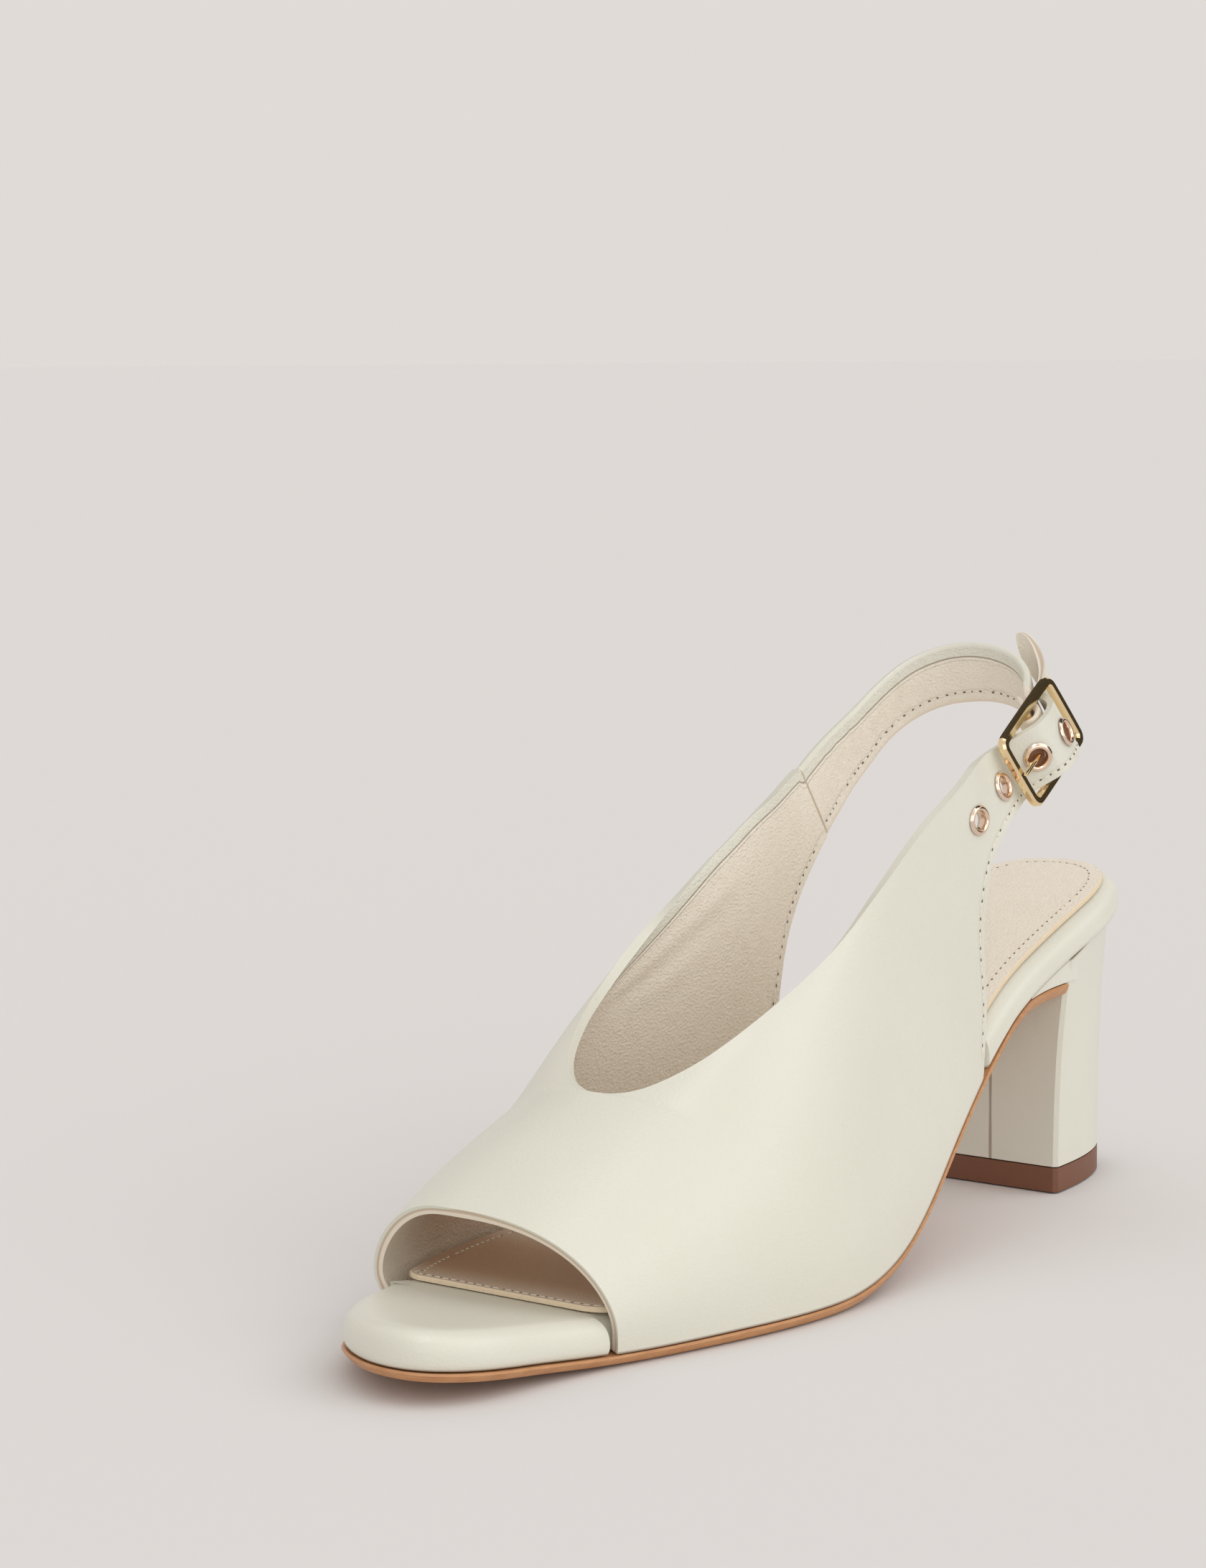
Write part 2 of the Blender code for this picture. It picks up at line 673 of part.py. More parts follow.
def thicken(name, points, walls, faces, colour, roughness):
    """A closed shell: the points are its outer face, and each wall is measured inward."""
    work = bmesh.new()
    verts = [work.verts.new(p) for p in points]
    for face in faces:
        work.faces.new([verts[i] for i in face])
    work.verts.index_update()
    work.normal_update()
    inner = [v.co - v.normal * walls[i] for i, v in enumerate(verts)]
    rim = [(e.verts[0].index, e.verts[1].index, e.link_faces[0].index) for e in work.edges if e.is_boundary]
    work.free()
    count = len(points)
    solid_points = [tuple(p) for p in points] + [tuple(p) for p in inner]
    solid_faces = [tuple(f) for f in faces]
    solid_faces += [tuple(i + count for i in reversed(f)) for f in faces]
    solid_faces += [(a, b, b + count, a + count) for a, b, _ in rim]
    return make_object(name, solid_points, solid_faces, colour, roughness, round_angle=50.0)


def upper_half(side, sections, wing, steps, per_step):
    """Rows of outer points of one half of the upper, and their walls."""
    feet = table_rows(sections, SECTION_COLUMNS, per_step, corner=SHARED_ROWS - 1)
    rows = [section_points(sole_section(side, row), steps) for row in feet]
    rows += [section_points(row, steps) for row in table_rows(wing, WING_COLUMNS, 2)]
    walls = [UPPER_WALL] * len(rows)
    if side == "lateral":
        more_rows, more_walls = strap_rows(steps)
        rows += more_rows
        walls += more_walls
    return rows, walls


def make_upper():
    """Vamp with both wings in one piece; the lateral wing runs out into the punched strap."""
    steps = 11
    per_step = 3
    points = []
    walls = []
    faces = []
    crown = {}
    shared = per_step * (SHARED_ROWS - 1)
    for side, sections, wing in (
        ("lateral", LATERAL_SECTIONS, LATERAL_WING),
        ("medial", MEDIAL_SECTIONS, MEDIAL_WING),
    ):
        rows, row_walls = upper_half(side, sections, wing, steps, per_step)
        grid = []
        for r, row in enumerate(rows):
            line = []
            for k, point in enumerate(row):
                if k == steps and r <= shared and r in crown:
                    line.append(crown[r])
                    continue
                line.append(len(points))
                points.append(point)
                walls.append(row_walls[r])
            if r <= shared:
                crown[r] = line[-1]
            grid.append(line)
        for r in range(len(grid) - 1):
            for k in range(steps):
                face = (grid[r][k], grid[r + 1][k], grid[r + 1][k + 1], grid[r][k + 1])
                faces.append(face if side == "lateral" else tuple(reversed(face)))
    return thicken("vamp_upper", points, walls, faces, (0.78, 0.74, 0.64), 0.4)


def strap_ring(centre, across, out, width, thickness):
    """One section of a strap, with its long edges eased."""
    half = width / 2
    deep = thickness / 2
    ease_in = min(0.5, deep * 0.6)
    corners = (
        (-half + ease_in, -deep), (half - ease_in, -deep), (half, -deep + ease_in), (half, deep - ease_in),
        (half - ease_in, deep), (-half + ease_in, deep), (-half, deep - ease_in), (-half, -deep + ease_in),
    )
    return [centre + across * u + out * v for u, v in corners]


def make_sling_strap():
    """Strap round the heel, folded round the buckle's centre bar and stitched back on itself."""
    edges = []
    for row in table_rows(STRAP, STRAP_COLUMNS, 4):
        low = Vector((row["low_x"], row["low_y"], row["low_z"]))
        top = Vector((row["top_x"], row["top_y"], row["top_z"]))
        edges.append((low, top, STRAP_THICKNESS))
    for row in table_rows(STRAP_AT_BUCKLE, STRAP_AT_BUCKLE_COLUMNS, 2):
        low = buckle_point(row["along"], -6.7, row["out"])
        top = buckle_point(row["along"], 6.7, row["out"])
        edges.append((low, top, FOLD_WALL))
    rings = []
    for i, (low, top, thickness) in enumerate(edges):
        before = edges[max(i - 1, 0)]
        after = edges[min(i + 1, len(edges) - 1)]
        along = (after[0] + after[1] - before[0] - before[1]).normalized()
        width = (top - low).length
        across = (top - low) / width
        out = across.cross(along).normalized()
        rings.append(strap_ring((low + top) / 2, across, out, width, thickness))
    fold = CENTRE_BAR_RADIUS + GAP + FOLD_WALL / 2
    for degrees in (80, 105, 130, 155, 180, 205, 230, 255, 270):
        turn = math.radians(degrees)
        spot = buckle_point(fold * math.cos(turn), 0, fold * math.sin(turn))
        outward = BUCKLE_ALONG.cross(BUCKLE_ACROSS)
        radial = BUCKLE_ALONG * math.cos(turn) + outward * math.sin(turn)
        rings.append(strap_ring(spot, BUCKLE_ACROSS, radial, 13.4, FOLD_WALL))
    outward = BUCKLE_ALONG.cross(BUCKLE_ACROSS)
    for along, out in STRAP_FOLDED_BACK:
        rings.append(strap_ring(buckle_point(along, 0, out), BUCKLE_ACROSS, -outward, 13.4, FOLD_WALL))
    strap = loft("slingback_strap", rings, (0.78, 0.74, 0.64), 0.4)
    slot = []
    for along in (-5.0, 3.4):
        corners = ((-1, -5), (1, -5), (1, 5), (-1, 5))
        slot.append([buckle_point(along, side * PRONG_SLOT / 2, out) for side, out in corners])
    apply_boolean(strap, loft("slot", slot, (0, 0, 0)), "DIFFERENCE")
    strap.data.shade_smooth()
    strap.data.set_sharp_from_angle(angle=math.radians(40))
    return strap


# Metal pieces


def make_buckle_frame():
    """Rectangular frame with rounded corners and a centre bar, one metal casting."""
    def loop(inset, out):
        half_long = BUCKLE_LENGTH / 2 - inset
        half_wide = BUCKLE_WIDTH / 2 - inset
        radius = max(BUCKLE_CORNER - inset, 1.0)
        ring = []
        for corner, (sx, sy) in enumerate(((1, 1), (-1, 1), (-1, -1), (1, -1))):
            for step in range(5):
                turn = math.radians(90 * corner + 90 * step / 4)
                ring.append(buckle_point(
                    sx * (half_long - radius) + radius * math.cos(turn),
                    sy * (half_wide - radius) + radius * math.sin(turn),
                    out,
                ))
        return ring

    half = BUCKLE_DEPTH / 2
    soft = 0.5
    loops = (
        loop(0.0, -half + soft), loop(0.0, half - soft), loop(soft, half),
        loop(BUCKLE_BAR - soft, half), loop(BUCKLE_BAR, half - soft), loop(BUCKLE_BAR, -half + soft),
        loop(BUCKLE_BAR - soft, -half), loop(soft, -half),
    )
    frame = loft("buckle_frame", loops, (0.90, 0.70, 0.42), 0.18, 1.0, closed=True)
    reach = BUCKLE_WIDTH / 2 - BUCKLE_BAR / 2
    rings = []
    for across in (-reach, reach):
        ring = []
        for step in range(12):
            turn = math.radians(30 * step)
            ring.append(buckle_point(
                CENTRE_BAR_RADIUS * math.cos(turn), across, CENTRE_BAR_RADIUS * math.sin(turn)
            ))
        rings.append(ring)
    bar = loft("centre_bar", rings, (0.90, 0.70, 0.42))
    apply_boolean(frame, bar, "UNION")
    frame.data.shade_smooth()
    frame.data.set_sharp_from_angle(angle=math.radians(40))
    return frame


def make_prong():
    """Pin that hooks round the centre bar, comes up through an eyelet and rests on the frame."""
    reach = CENTRE_BAR_RADIUS + GAP + PRONG_RADIUS
    path = []
    for degrees in range(215, 449, 26):
        turn = math.radians(degrees)
        path.append((reach * math.cos(turn), reach * math.sin(turn)))
    path += [(-0.8, reach), (-6.0, reach + 0.3), (-12.0, 2.05), (-13.6, 2.2), (-15.0, 2.25)]
    rings = []
    for i, (along, out) in enumerate(path):
        before = path[max(i - 1, 0)]
        after = path[min(i + 1, len(path) - 1)]
        way = Vector((after[0] - before[0], after[1] - before[1])).normalized()
        radius = PRONG_RADIUS * (0.75 if i in (0, len(path) - 1) else 1.0)
        ring = []
        for step in range(10):
            turn = math.radians(36 * step)
            lift = radius * math.sin(turn)
            ring.append(buckle_point(along - way.y * lift, radius * math.cos(turn), out + way.x * lift))
        rings.append(ring)
    return loft("buckle_prong", rings, (0.90, 0.70, 0.42), 0.18, 1.0)


def eyelet_spots(upper):
    """Where each eyelet sits on the strap's outer face, and which way it looks."""
    spots = [WING_EYELET]
    for along in EYELETS_ALONG:
        out = look_up(THREAD, THREAD_COLUMNS, "out", along)
        spots.append(buckle_point(along, 0.0, out + STRAP_WALL))
    found = []
    for spot in spots:
        moved = Vector((spot.x - BOX_CENTRE_X, spot.y - BOX_CENTRE_Y, spot.z)) * MM
        _, place, facing, _ = upper.closest_point_on_mesh(moved)
        here = Vector((place.x / MM + BOX_CENTRE_X, place.y / MM + BOX_CENTRE_Y, place.z / MM))
        found.append((here, facing.normalized()))
    return found


def turned(spot, facing, profile_points, count):
    """Rings of a turned piece: pairs of radius and height, spun about the facing at the spot."""
    first = facing.orthogonal().normalized()
    second = facing.cross(first)
    rings = []
    for step in range(count):
        turn = 2 * math.pi * step / count
        outward = first * math.cos(turn) + second * math.sin(turn)
        rings.append([spot + outward * radius + facing * height for radius, height in profile_points])
    return rings


def make_eyelets(upper):
    """Four metal eyelets, each through a hole that is cut in the strap for its barrel."""
    inside = -STRAP_WALL + 0.1
    section = (
        (EYELET_HOLE_RADIUS, inside), (EYELET_HOLE_RADIUS, 0.5), (EYELET_HOLE_RADIUS + 0.5, 0.9),
        (EYELET_RIM_RADIUS - 0.4, 0.8), (EYELET_RIM_RADIUS, GAP), (EYELET_BARREL_RADIUS, GAP),
        (EYELET_BARREL_RADIUS, inside),
    )
    spots = eyelet_spots(upper)
    for i, (spot, facing) in enumerate(spots):
        hole = EYELET_BARREL_RADIUS + GAP
        rings = []
        for height in (-4.0, 2.0):
            first = facing.orthogonal().normalized()
            second = facing.cross(first)
            rings.append([
                spot + facing * height
                + (first * math.cos(2 * math.pi * k / 14) + second * math.sin(2 * math.pi * k / 14)) * hole
                for k in range(14)
            ])
        apply_boolean(upper, loft("hole", rings, (0, 0, 0)), "DIFFERENCE")
        rings = turned(spot, facing, section, 12)
        loft(f"eyelet_{i + 1}", rings, (0.78, 0.52, 0.36), 0.2, 1.0, closed=True)
    upper.data.shade_smooth()
    upper.data.set_sharp_from_angle(angle=math.radians(50))


def make_all():
    for obj in list(bpy.data.objects):
        bpy.data.objects.remove(obj)
    make_outsole()
    make_footbed()
    make_sock_lining()
    make_heel()
    upper = make_upper()
    make_sling_strap()
    make_buckle_frame()
    make_prong()
    make_eyelets(upper)


make_all()
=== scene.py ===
"""Looks of the slingback sandal: leather, linings, stitching, metal, floor, light and camera.

Lengths are metres, as in the frame, except where a name or a comment says millimetres.
"""

import json
import math

import bmesh
import bpy
from mathutils import Matrix, Vector, kdtree

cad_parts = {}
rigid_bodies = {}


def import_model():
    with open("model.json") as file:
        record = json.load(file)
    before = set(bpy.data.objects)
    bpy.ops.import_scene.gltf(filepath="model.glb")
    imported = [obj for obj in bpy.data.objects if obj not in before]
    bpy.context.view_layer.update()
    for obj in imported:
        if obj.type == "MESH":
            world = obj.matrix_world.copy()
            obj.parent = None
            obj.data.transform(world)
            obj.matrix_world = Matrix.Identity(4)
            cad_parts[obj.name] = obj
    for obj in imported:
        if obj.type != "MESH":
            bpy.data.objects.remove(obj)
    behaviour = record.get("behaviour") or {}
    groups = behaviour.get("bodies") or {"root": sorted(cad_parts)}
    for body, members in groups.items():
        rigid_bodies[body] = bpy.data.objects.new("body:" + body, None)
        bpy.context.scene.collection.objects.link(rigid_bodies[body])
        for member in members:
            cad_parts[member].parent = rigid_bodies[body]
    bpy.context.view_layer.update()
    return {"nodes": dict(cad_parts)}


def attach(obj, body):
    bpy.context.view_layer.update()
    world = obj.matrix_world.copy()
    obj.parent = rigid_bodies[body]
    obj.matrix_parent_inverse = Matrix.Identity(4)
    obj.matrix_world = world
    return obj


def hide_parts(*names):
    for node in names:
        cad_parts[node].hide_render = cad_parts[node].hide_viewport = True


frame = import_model()
node = frame["nodes"]
MM = 0.001

# Camera at the photograph's angle to the shoe: a long lens, a little above the floor, and
# turned toward the outer side of the toe. It is rolled by half a degree, as the photograph is.
PHOTO_HEIGHT = 2184
FOCAL_PIXELS = 5062
CAMERA_PLACE = Vector((0.41952, -0.61220, 0.18980))
CAMERA_AROUND = math.radians(36.8)
CAMERA_PITCH = math.radians(6.89)
CAMERA_ROLL = math.radians(0.57)
SHIFT_PIXELS_X = -4.6
SHIFT_PIXELS_Y = 0.2
back = Vector((
    math.sin(CAMERA_AROUND) * math.cos(CAMERA_PITCH),
    -math.cos(CAMERA_AROUND) * math.cos(CAMERA_PITCH),
    math.sin(CAMERA_PITCH),
))
right = Vector((math.cos(CAMERA_AROUND), math.sin(CAMERA_AROUND), 0.0))
up = back.cross(right)
rolled_right = right * math.cos(CAMERA_ROLL) - up * math.sin(CAMERA_ROLL)
rolled_up = right * math.sin(CAMERA_ROLL) + up * math.cos(CAMERA_ROLL)
camera_data = bpy.data.cameras.new("camera")
camera_data.sensor_width = 36
camera_data.lens = 36 * FOCAL_PIXELS / PHOTO_HEIGHT
camera_data.shift_x = SHIFT_PIXELS_X / PHOTO_HEIGHT
camera_data.shift_y = SHIFT_PIXELS_Y / PHOTO_HEIGHT
camera = bpy.data.objects.new("camera", camera_data)
camera.matrix_world = Matrix((
    (rolled_right.x, rolled_up.x, back.x, CAMERA_PLACE.x),
    (rolled_right.y, rolled_up.y, back.y, CAMERA_PLACE.y),
    (rolled_right.z, rolled_up.z, back.z, CAMERA_PLACE.z),
    (0, 0, 0, 1),
))
bpy.context.collection.objects.link(camera)
bpy.context.scene.camera = camera

# Plain pale floor of matt paint, wide enough to reach the horizon. It stays outside the object.
# The room behind it has the same tone, so that the two run into each other.
FLOOR_COLOUR = (0.750, 0.738, 0.734)
ROOM_COLOUR = (0.745, 0.708, 0.679)
bpy.ops.object.select_all(action="DESELECT")
bpy.ops.mesh.primitive_plane_add(size=60.0, location=(0, 0, -0.0004))
floor = bpy.context.object
floor.name = "floor"
floor_paint = bpy.data.materials.new("floor paint")
floor_paint.use_nodes = True
floor_shader = floor_paint.node_tree.nodes["Principled BSDF"]
floor_shader.inputs["Base Color"].default_value = (*FLOOR_COLOUR, 1)
floor_shader.inputs["Roughness"].default_value = 1.0
floor_shader.inputs["Specular IOR Level"].default_value = 0.0
floor.data.materials.append(floor_paint)
bpy.context.scene.view_settings.view_transform = "Standard"

# Studio light: wide soft suns, so that the floor is lit evenly, a strip box that draws a gleam
# along the metal and the leather, and a pale room round it all. Three dark flags, which only
# reflections see, give the polished metal its dark bands.
SUN_WIDTH = math.radians(50)
SUN_COLOUR = (0.98, 1.0, 1.0)
BUCKLE_PLACE = Vector((0.034, 0.075, 0.106))
FLAG_COLOUR = (0.075, 0.068, 0.055)
STRIP_PLACE = Vector((0.25, -0.45, 1.15))
STRIP_AIM = Vector((0, 0, 0.05))
for name, heading, height, strength in (
    ("key sun", 82, 48, 0.50),
    ("side sun", 50, 20, 0.34),
    ("front sun", 8, 10, 0.45),
    ("top sun", -10, 75, 0.15),
):
    sun_data = bpy.data.lights.new(name, "SUN")
    sun_data.angle = SUN_WIDTH
    sun_data.energy = strength
    sun_data.color = SUN_COLOUR
    sun = bpy.data.objects.new(name, sun_data)
    around = CAMERA_AROUND + math.radians(heading)
    rise = math.radians(height)
    source = Vector((math.sin(around) * math.cos(rise), -math.cos(around) * math.cos(rise), math.sin(rise)))
    sun.rotation_euler = source.to_track_quat("Z", "Y").to_euler()
    bpy.context.collection.objects.link(sun)

strip_data = bpy.data.lights.new("strip box", "AREA")
strip_data.shape = "RECTANGLE"
strip_data.size = 0.3
strip_data.size_y = 0.9
strip_data.energy = 3.0
strip = bpy.data.objects.new("strip box", strip_data)
strip.visible_diffuse = False
strip.location = STRIP_PLACE
strip.rotation_euler = (STRIP_PLACE - STRIP_AIM).to_track_quat("Z", "Y").to_euler()
bpy.context.collection.objects.link(strip)

flag_cloth = bpy.data.materials.new("dark flag cloth")
flag_cloth.use_nodes = True
flag_shader = flag_cloth.node_tree.nodes["Principled BSDF"]
flag_shader.inputs["Base Color"].default_value = (*FLAG_COLOUR, 1)
flag_shader.inputs["Roughness"].default_value = 1.0
flag_shader.inputs["Specular IOR Level"].default_value = 0.0
for name, place, width, height in (
    ("dark flag behind", (0.60, 1.20, 0.42), 1.1, 0.8),
    ("dark flag above", (0.19, 0.68, 1.14), 0.9, 0.8),
    ("dark flag beyond", (-0.76, 0.73, 0.72), 0.7, 0.6),
):
    bpy.ops.object.select_all(action="DESELECT")
    bpy.ops.mesh.primitive_plane_add(size=1.0, location=place)
    flag = bpy.context.object
    flag.name = name
    flag.scale = (width, height, 1)
    flag.rotation_euler = (Vector(place) - BUCKLE_PLACE).to_track_quat("Z", "Y").to_euler()
    flag.visible_camera = flag.visible_diffuse = flag.visible_shadow = False
    flag.data.materials.append(flag_cloth)

room = bpy.data.worlds.new("room")
bpy.context.scene.world = room
room.use_nodes = True
room.node_tree.nodes["Background"].inputs["Color"].default_value = (*ROOM_COLOUR, 1)


# Outsole: a thin leather sole with a tan, waxed edge, cut off square at the heel breast.
# It is cemented under the footbed and shows as a narrow line all round.
class Wire:
    """A number that runs through a material's nodes. Arithmetic on wires adds Math nodes."""

    def __init__(self, look, socket):
        self.look = look
        self.socket = socket

    def math(self, operation, *values):
        return self.look.node("ShaderNodeMath", {"operation": operation}, dict(enumerate(values)))

    def __add__(self, other):
        return self.math("ADD", self, other)

    __radd__ = __add__

    def __sub__(self, other):
        return self.math("SUBTRACT", self, other)

    def __rsub__(self, other):
        return self.math("SUBTRACT", other, self)

    def __mul__(self, other):
        return self.math("MULTIPLY", self, other)

    __rmul__ = __mul__

    def __abs__(self):
        return self.math("ABSOLUTE", self)

    def step(self, start, end):
        """0 at start, 1 at end, and soft between them."""
        settings = {"interpolation_type": "SMOOTHSTEP"}
        return self.look.node("ShaderNodeMapRange", settings, {0: self, 1: start, 2: end})


class Look:
    """A material as it is built: its nodes, and its main shader's sockets."""

    def __init__(self, name, colour, roughness, metallic=0.0, coat=0.0, coat_roughness=0.2):
        self.material = bpy.data.materials.new(name)
        self.material.use_nodes = True
        self.tree = self.material.node_tree
        self.shader = self.tree.nodes["Principled BSDF"]
        self.place = self.node("ShaderNodeTexCoord", {}, {}, "Object")
        for socket, value in (
            ("Base Color", (*colour, 1)), ("Roughness", roughness), ("Metallic", metallic),
            ("Coat Weight", coat), ("Coat Roughness", coat_roughness),
        ):
            self.shader.inputs[socket].default_value = value

    def node(self, kind, settings, values, output=0):
        """Adds a node: its settings come first, then the values or links of its sockets."""
        made = self.tree.nodes.new(kind)
        for setting, value in settings.items():
            setattr(made, setting, value)
        for socket, value in values.items():
            if isinstance(value, Wire):
                self.tree.links.new(value.socket, made.inputs[socket])
            else:
                made.inputs[socket].default_value = value
        return Wire(self, made.outputs[output])

    def noise(self, scale, detail=2.0, stretch=(1, 1, 1)):
        """Soft noise with this many features a metre, centred on 0.5."""
        place = self.node("ShaderNodeMapping", {}, {"Vector": self.place, "Scale": stretch})
        return self.node("ShaderNodeTexNoise", {}, {"Vector": place, "Scale": scale, "Detail": detail})

    def cells(self, scale):
        """Distance to the nearest of many scattered points, as between the pores of leather."""
        return self.node("ShaderNodeTexVoronoi", {}, {"Vector": self.place, "Scale": scale})

    def along_shoe(self):
        """The place along the shoe in metres, from the toe (negative) to the heel."""
        return self.node("ShaderNodeSeparateXYZ", {}, {"Vector": self.place}, 1)

    def attribute(self, name):
        """A number kept on each point of the mesh."""
        return self.node("ShaderNodeAttribute", {"attribute_name": name}, {}, "Fac")

    def mixed(self, share, first, second):
        """Two colours mixed by a share."""
        first = first if isinstance(first, Wire) else (*first, 1)
        second = second if isinstance(second, Wire) else (*second, 1)
        return self.node("ShaderNodeMix", {"data_type": "RGBA"}, {0: share, 6: first, 7: second}, 2)

    def link(self, socket, wire):
        self.tree.links.new(wire.socket, self.shader.inputs[socket])

    def bump(self, height, depth):
        """Relief of the surface: height runs over 0 to 1, and depth is in metres."""
        self.link("Normal", self.node("ShaderNodeBump", {}, {"Height": height, "Distance": depth}, "Normal"))


def copied(name, crease_degrees=40, crease=1.0):
    """A copy of a CAD node as a dressed piece, with its points merged and its clear edges kept."""
    bpy.ops.object.select_all(action="DESELECT")
    piece = node[name].copy()
    piece.data = node[name].data.copy()
    piece.name = name + "_dressed"
    piece.parent = None
    bpy.context.collection.objects.link(piece)
    bpy.context.view_layer.objects.active = piece
    piece.select_set(True)
    bpy.ops.object.mode_set(mode="EDIT")
    bpy.ops.mesh.select_all(action="SELECT")
    bpy.ops.mesh.remove_doubles(threshold=0.000002)
    bpy.ops.mesh.tris_convert_to_quads(face_threshold=math.radians(30), shape_threshold=math.radians(60))
    bpy.ops.mesh.select_all(action="DESELECT")
    bpy.ops.mesh.select_mode(type="EDGE")
    bpy.ops.mesh.edges_select_sharp(sharpness=math.radians(crease_degrees))
    bpy.ops.transform.edge_crease(value=crease)
    bpy.ops.mesh.mark_sharp()
    bpy.ops.object.mode_set(mode="OBJECT")
    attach(piece, "root")
    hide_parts(name)
    return piece


def subdivided(piece, levels=2, smooth_degrees=40):
    """Rounds a piece's facets into one smooth surface."""
    bpy.ops.object.select_all(action="DESELECT")
    bpy.context.view_layer.objects.active = piece
    piece.select_set(True)
    finer = piece.modifiers.new("finer", "SUBSURF")
    finer.levels = finer.render_levels = levels
    bpy.ops.object.modifier_apply(modifier=finer.name)
    bpy.ops.object.shade_smooth_by_angle(angle=math.radians(smooth_degrees))


def refined(name, crease_degrees=40, levels=2):
    """A smooth copy of a CAD node, with its clear edges kept."""
    piece = copied(name, crease_degrees)
    subdivided(piece, levels, crease_degrees)
    return piece


def finish(piece, slot, *looks):
    """Gives a piece its materials, which keep the places of its faces. The slot is not used."""
    zones = [face.material_index for face in piece.data.polygons]
    piece.data.materials.clear()
    for look in looks:
        piece.data.materials.append(look.material)
    piece.data.polygons.foreach_set("material_index", zones)


tan_edge = Look("tan sole edge", (0.55, 0.26, 0.11), 0.42)
streaks = tan_edge.noise(260, 4, (1, 1, 6))
tan_edge.link("Base Color", tan_edge.mixed(streaks, (0.66, 0.36, 0.17), (0.42, 0.17, 0.06)))
tan_edge.bump(tan_edge.noise(900, 3), 0.0001)
outsole = refined("outsole")
finish(outsole, "sole_leather", tan_edge)

# Top piece: the brown rubber wearing part under the heel, moulded, with its outline ground
# flush with the heel's cover.
brown_rubber = Look("brown rubber", (0.19, 0.075, 0.038), 0.5)
brown_rubber.bump(brown_rubber.noise(1500, 2), 0.00006)
top_piece = refined("top_piece")
finish(top_piece, "top_rubber", brown_rubber)

# Footbed: board and foam under one skin of cream leather, wrapped round its rim. It shows
# whole at the open toe, and as a padded rim along the waist and round the seat.
CREAM = (0.752, 0.747, 0.655)
CREAM_SHADE = (0.715, 0.70, 0.59)
JOINT_SHADOW_BROWN = (0.22, 0.13, 0.07)
MOTTLE, PORES, FINE_GRAIN, PLUMPNESS = 28, 1500, 2600, 160
FARTHEST = 30.0


def cream_skin(name):
    """Cream leather with a faint mottle: the look, and its colour before the painted joint shadows and the
    seams.
    """
    look = Look(name, CREAM, 0.42, coat=0.2, coat_roughness=0.26)
    return look, look.mixed(look.noise(MOTTLE, 3).step(0.3, 0.75) * 0.35, CREAM, CREAM_SHADE)


def cream_grain(look):
    """The relief of cream leather: pores, fine grain, and the plumpness of the skin."""
    return look.cells(PORES) * 0.5 + look.noise(FINE_GRAIN, 2) * 0.35 + look.noise(PLUMPNESS, 2) * 0.5


def keep_gap(piece, other):
    """Keeps on each point its distance in millimetres to the piece that it is joined to."""
    gap = piece.data.attributes.new("to_joint", "FLOAT", "POINT")
    for i, point in enumerate(piece.data.vertices):
        spot = other.closest_point_on_mesh(point.co)[1]
        gap.data[i].value = min((spot - point.co).length / MM, FARTHEST)


cream_leather, bed_colour = cream_skin("cream leather")
# Painted shadow: a thin dark brown line where the footbed meets the outsole, for the shadow line at the
# joint
bed_joint_shadow = 1 - cream_leather.attribute("to_joint").step(0.25, 0.8)
cream_leather.link("Base Color", cream_leather.mixed(bed_joint_shadow * 0.85, bed_colour, JOINT_SHADOW_BROWN))
cream_leather.bump(cream_grain(cream_leather), 0.00008)
footbed = refined("footbed")
keep_gap(footbed, outsole)
finish(footbed, "cover_leather", cream_leather)

# Sock lining: a thin beige leather, glued on the footbed and stitched close to its edge.
# Its front edge is cut straight and left raw, and its front corners are rounded.
TOP, LINING, EDGE = 0, 1, 2
BEIGE = (0.85, 0.785, 0.68)
BEIGE_SHADE = (0.80, 0.72, 0.60)
# Warm brown painted into both linings inside the open toe, as shade
PAINTED_TOE_SHADE = (0.49, 0.29, 0.165)
WRINKLES = 420
WIDEST_HOLE = 12.0
SOCK_SEEDS = ((0, -50, 20), (0, 60, 60), (0, 100, 80))
SOCK_STITCH_INSET = 2.7
SOCK_FRONT_INSET = 1.2
SOCK_FRONT_Y = -79.5
SOCK_CORNER = 4.0
THREAD_SIDES = 6
THREAD_RINGS = ((-0.5, 0.3), (-0.36, 0.9), (0.0, 1.0), (0.36, 0.9), (0.5, 0.3))
THREAD_FLATNESS = 0.7
NEEDLE_SIDES = 8
NEEDLE_LENGTH, NEEDLE_WIDTH, NEEDLE_DEPTH, NEEDLE_RISE = 0.42, 0.22, 0.35, 0.03
LONGEST_STEP = 6.0


def select_zone(piece, seed, zone):
    """Gives a zone number to the face nearest the seed and to all it joins without a sharp edge."""
    bpy.ops.object.select_all(action="DESELECT")
    bpy.context.view_layer.objects.active = piece
    piece.select_set(True)
    _, _, _, nearest = piece.closest_point_on_mesh(Vector(seed) * MM)
    bpy.ops.object.mode_set(mode="EDIT")
    bpy.ops.mesh.select_mode(type="FACE")
    bpy.ops.mesh.select_all(action="DESELECT")
    mesh = bmesh.from_edit_mesh(piece.data)
    mesh.faces.ensure_lookup_table()
    mesh.faces[nearest].select_set(True)
    bpy.ops.mesh.select_linked(delimit={"SHARP"})
    for face in mesh.faces:
        if face.select:
            face.material_index = zone
    bmesh.update_edit_mesh(piece.data)
    bpy.ops.object.mode_set(mode="OBJECT")


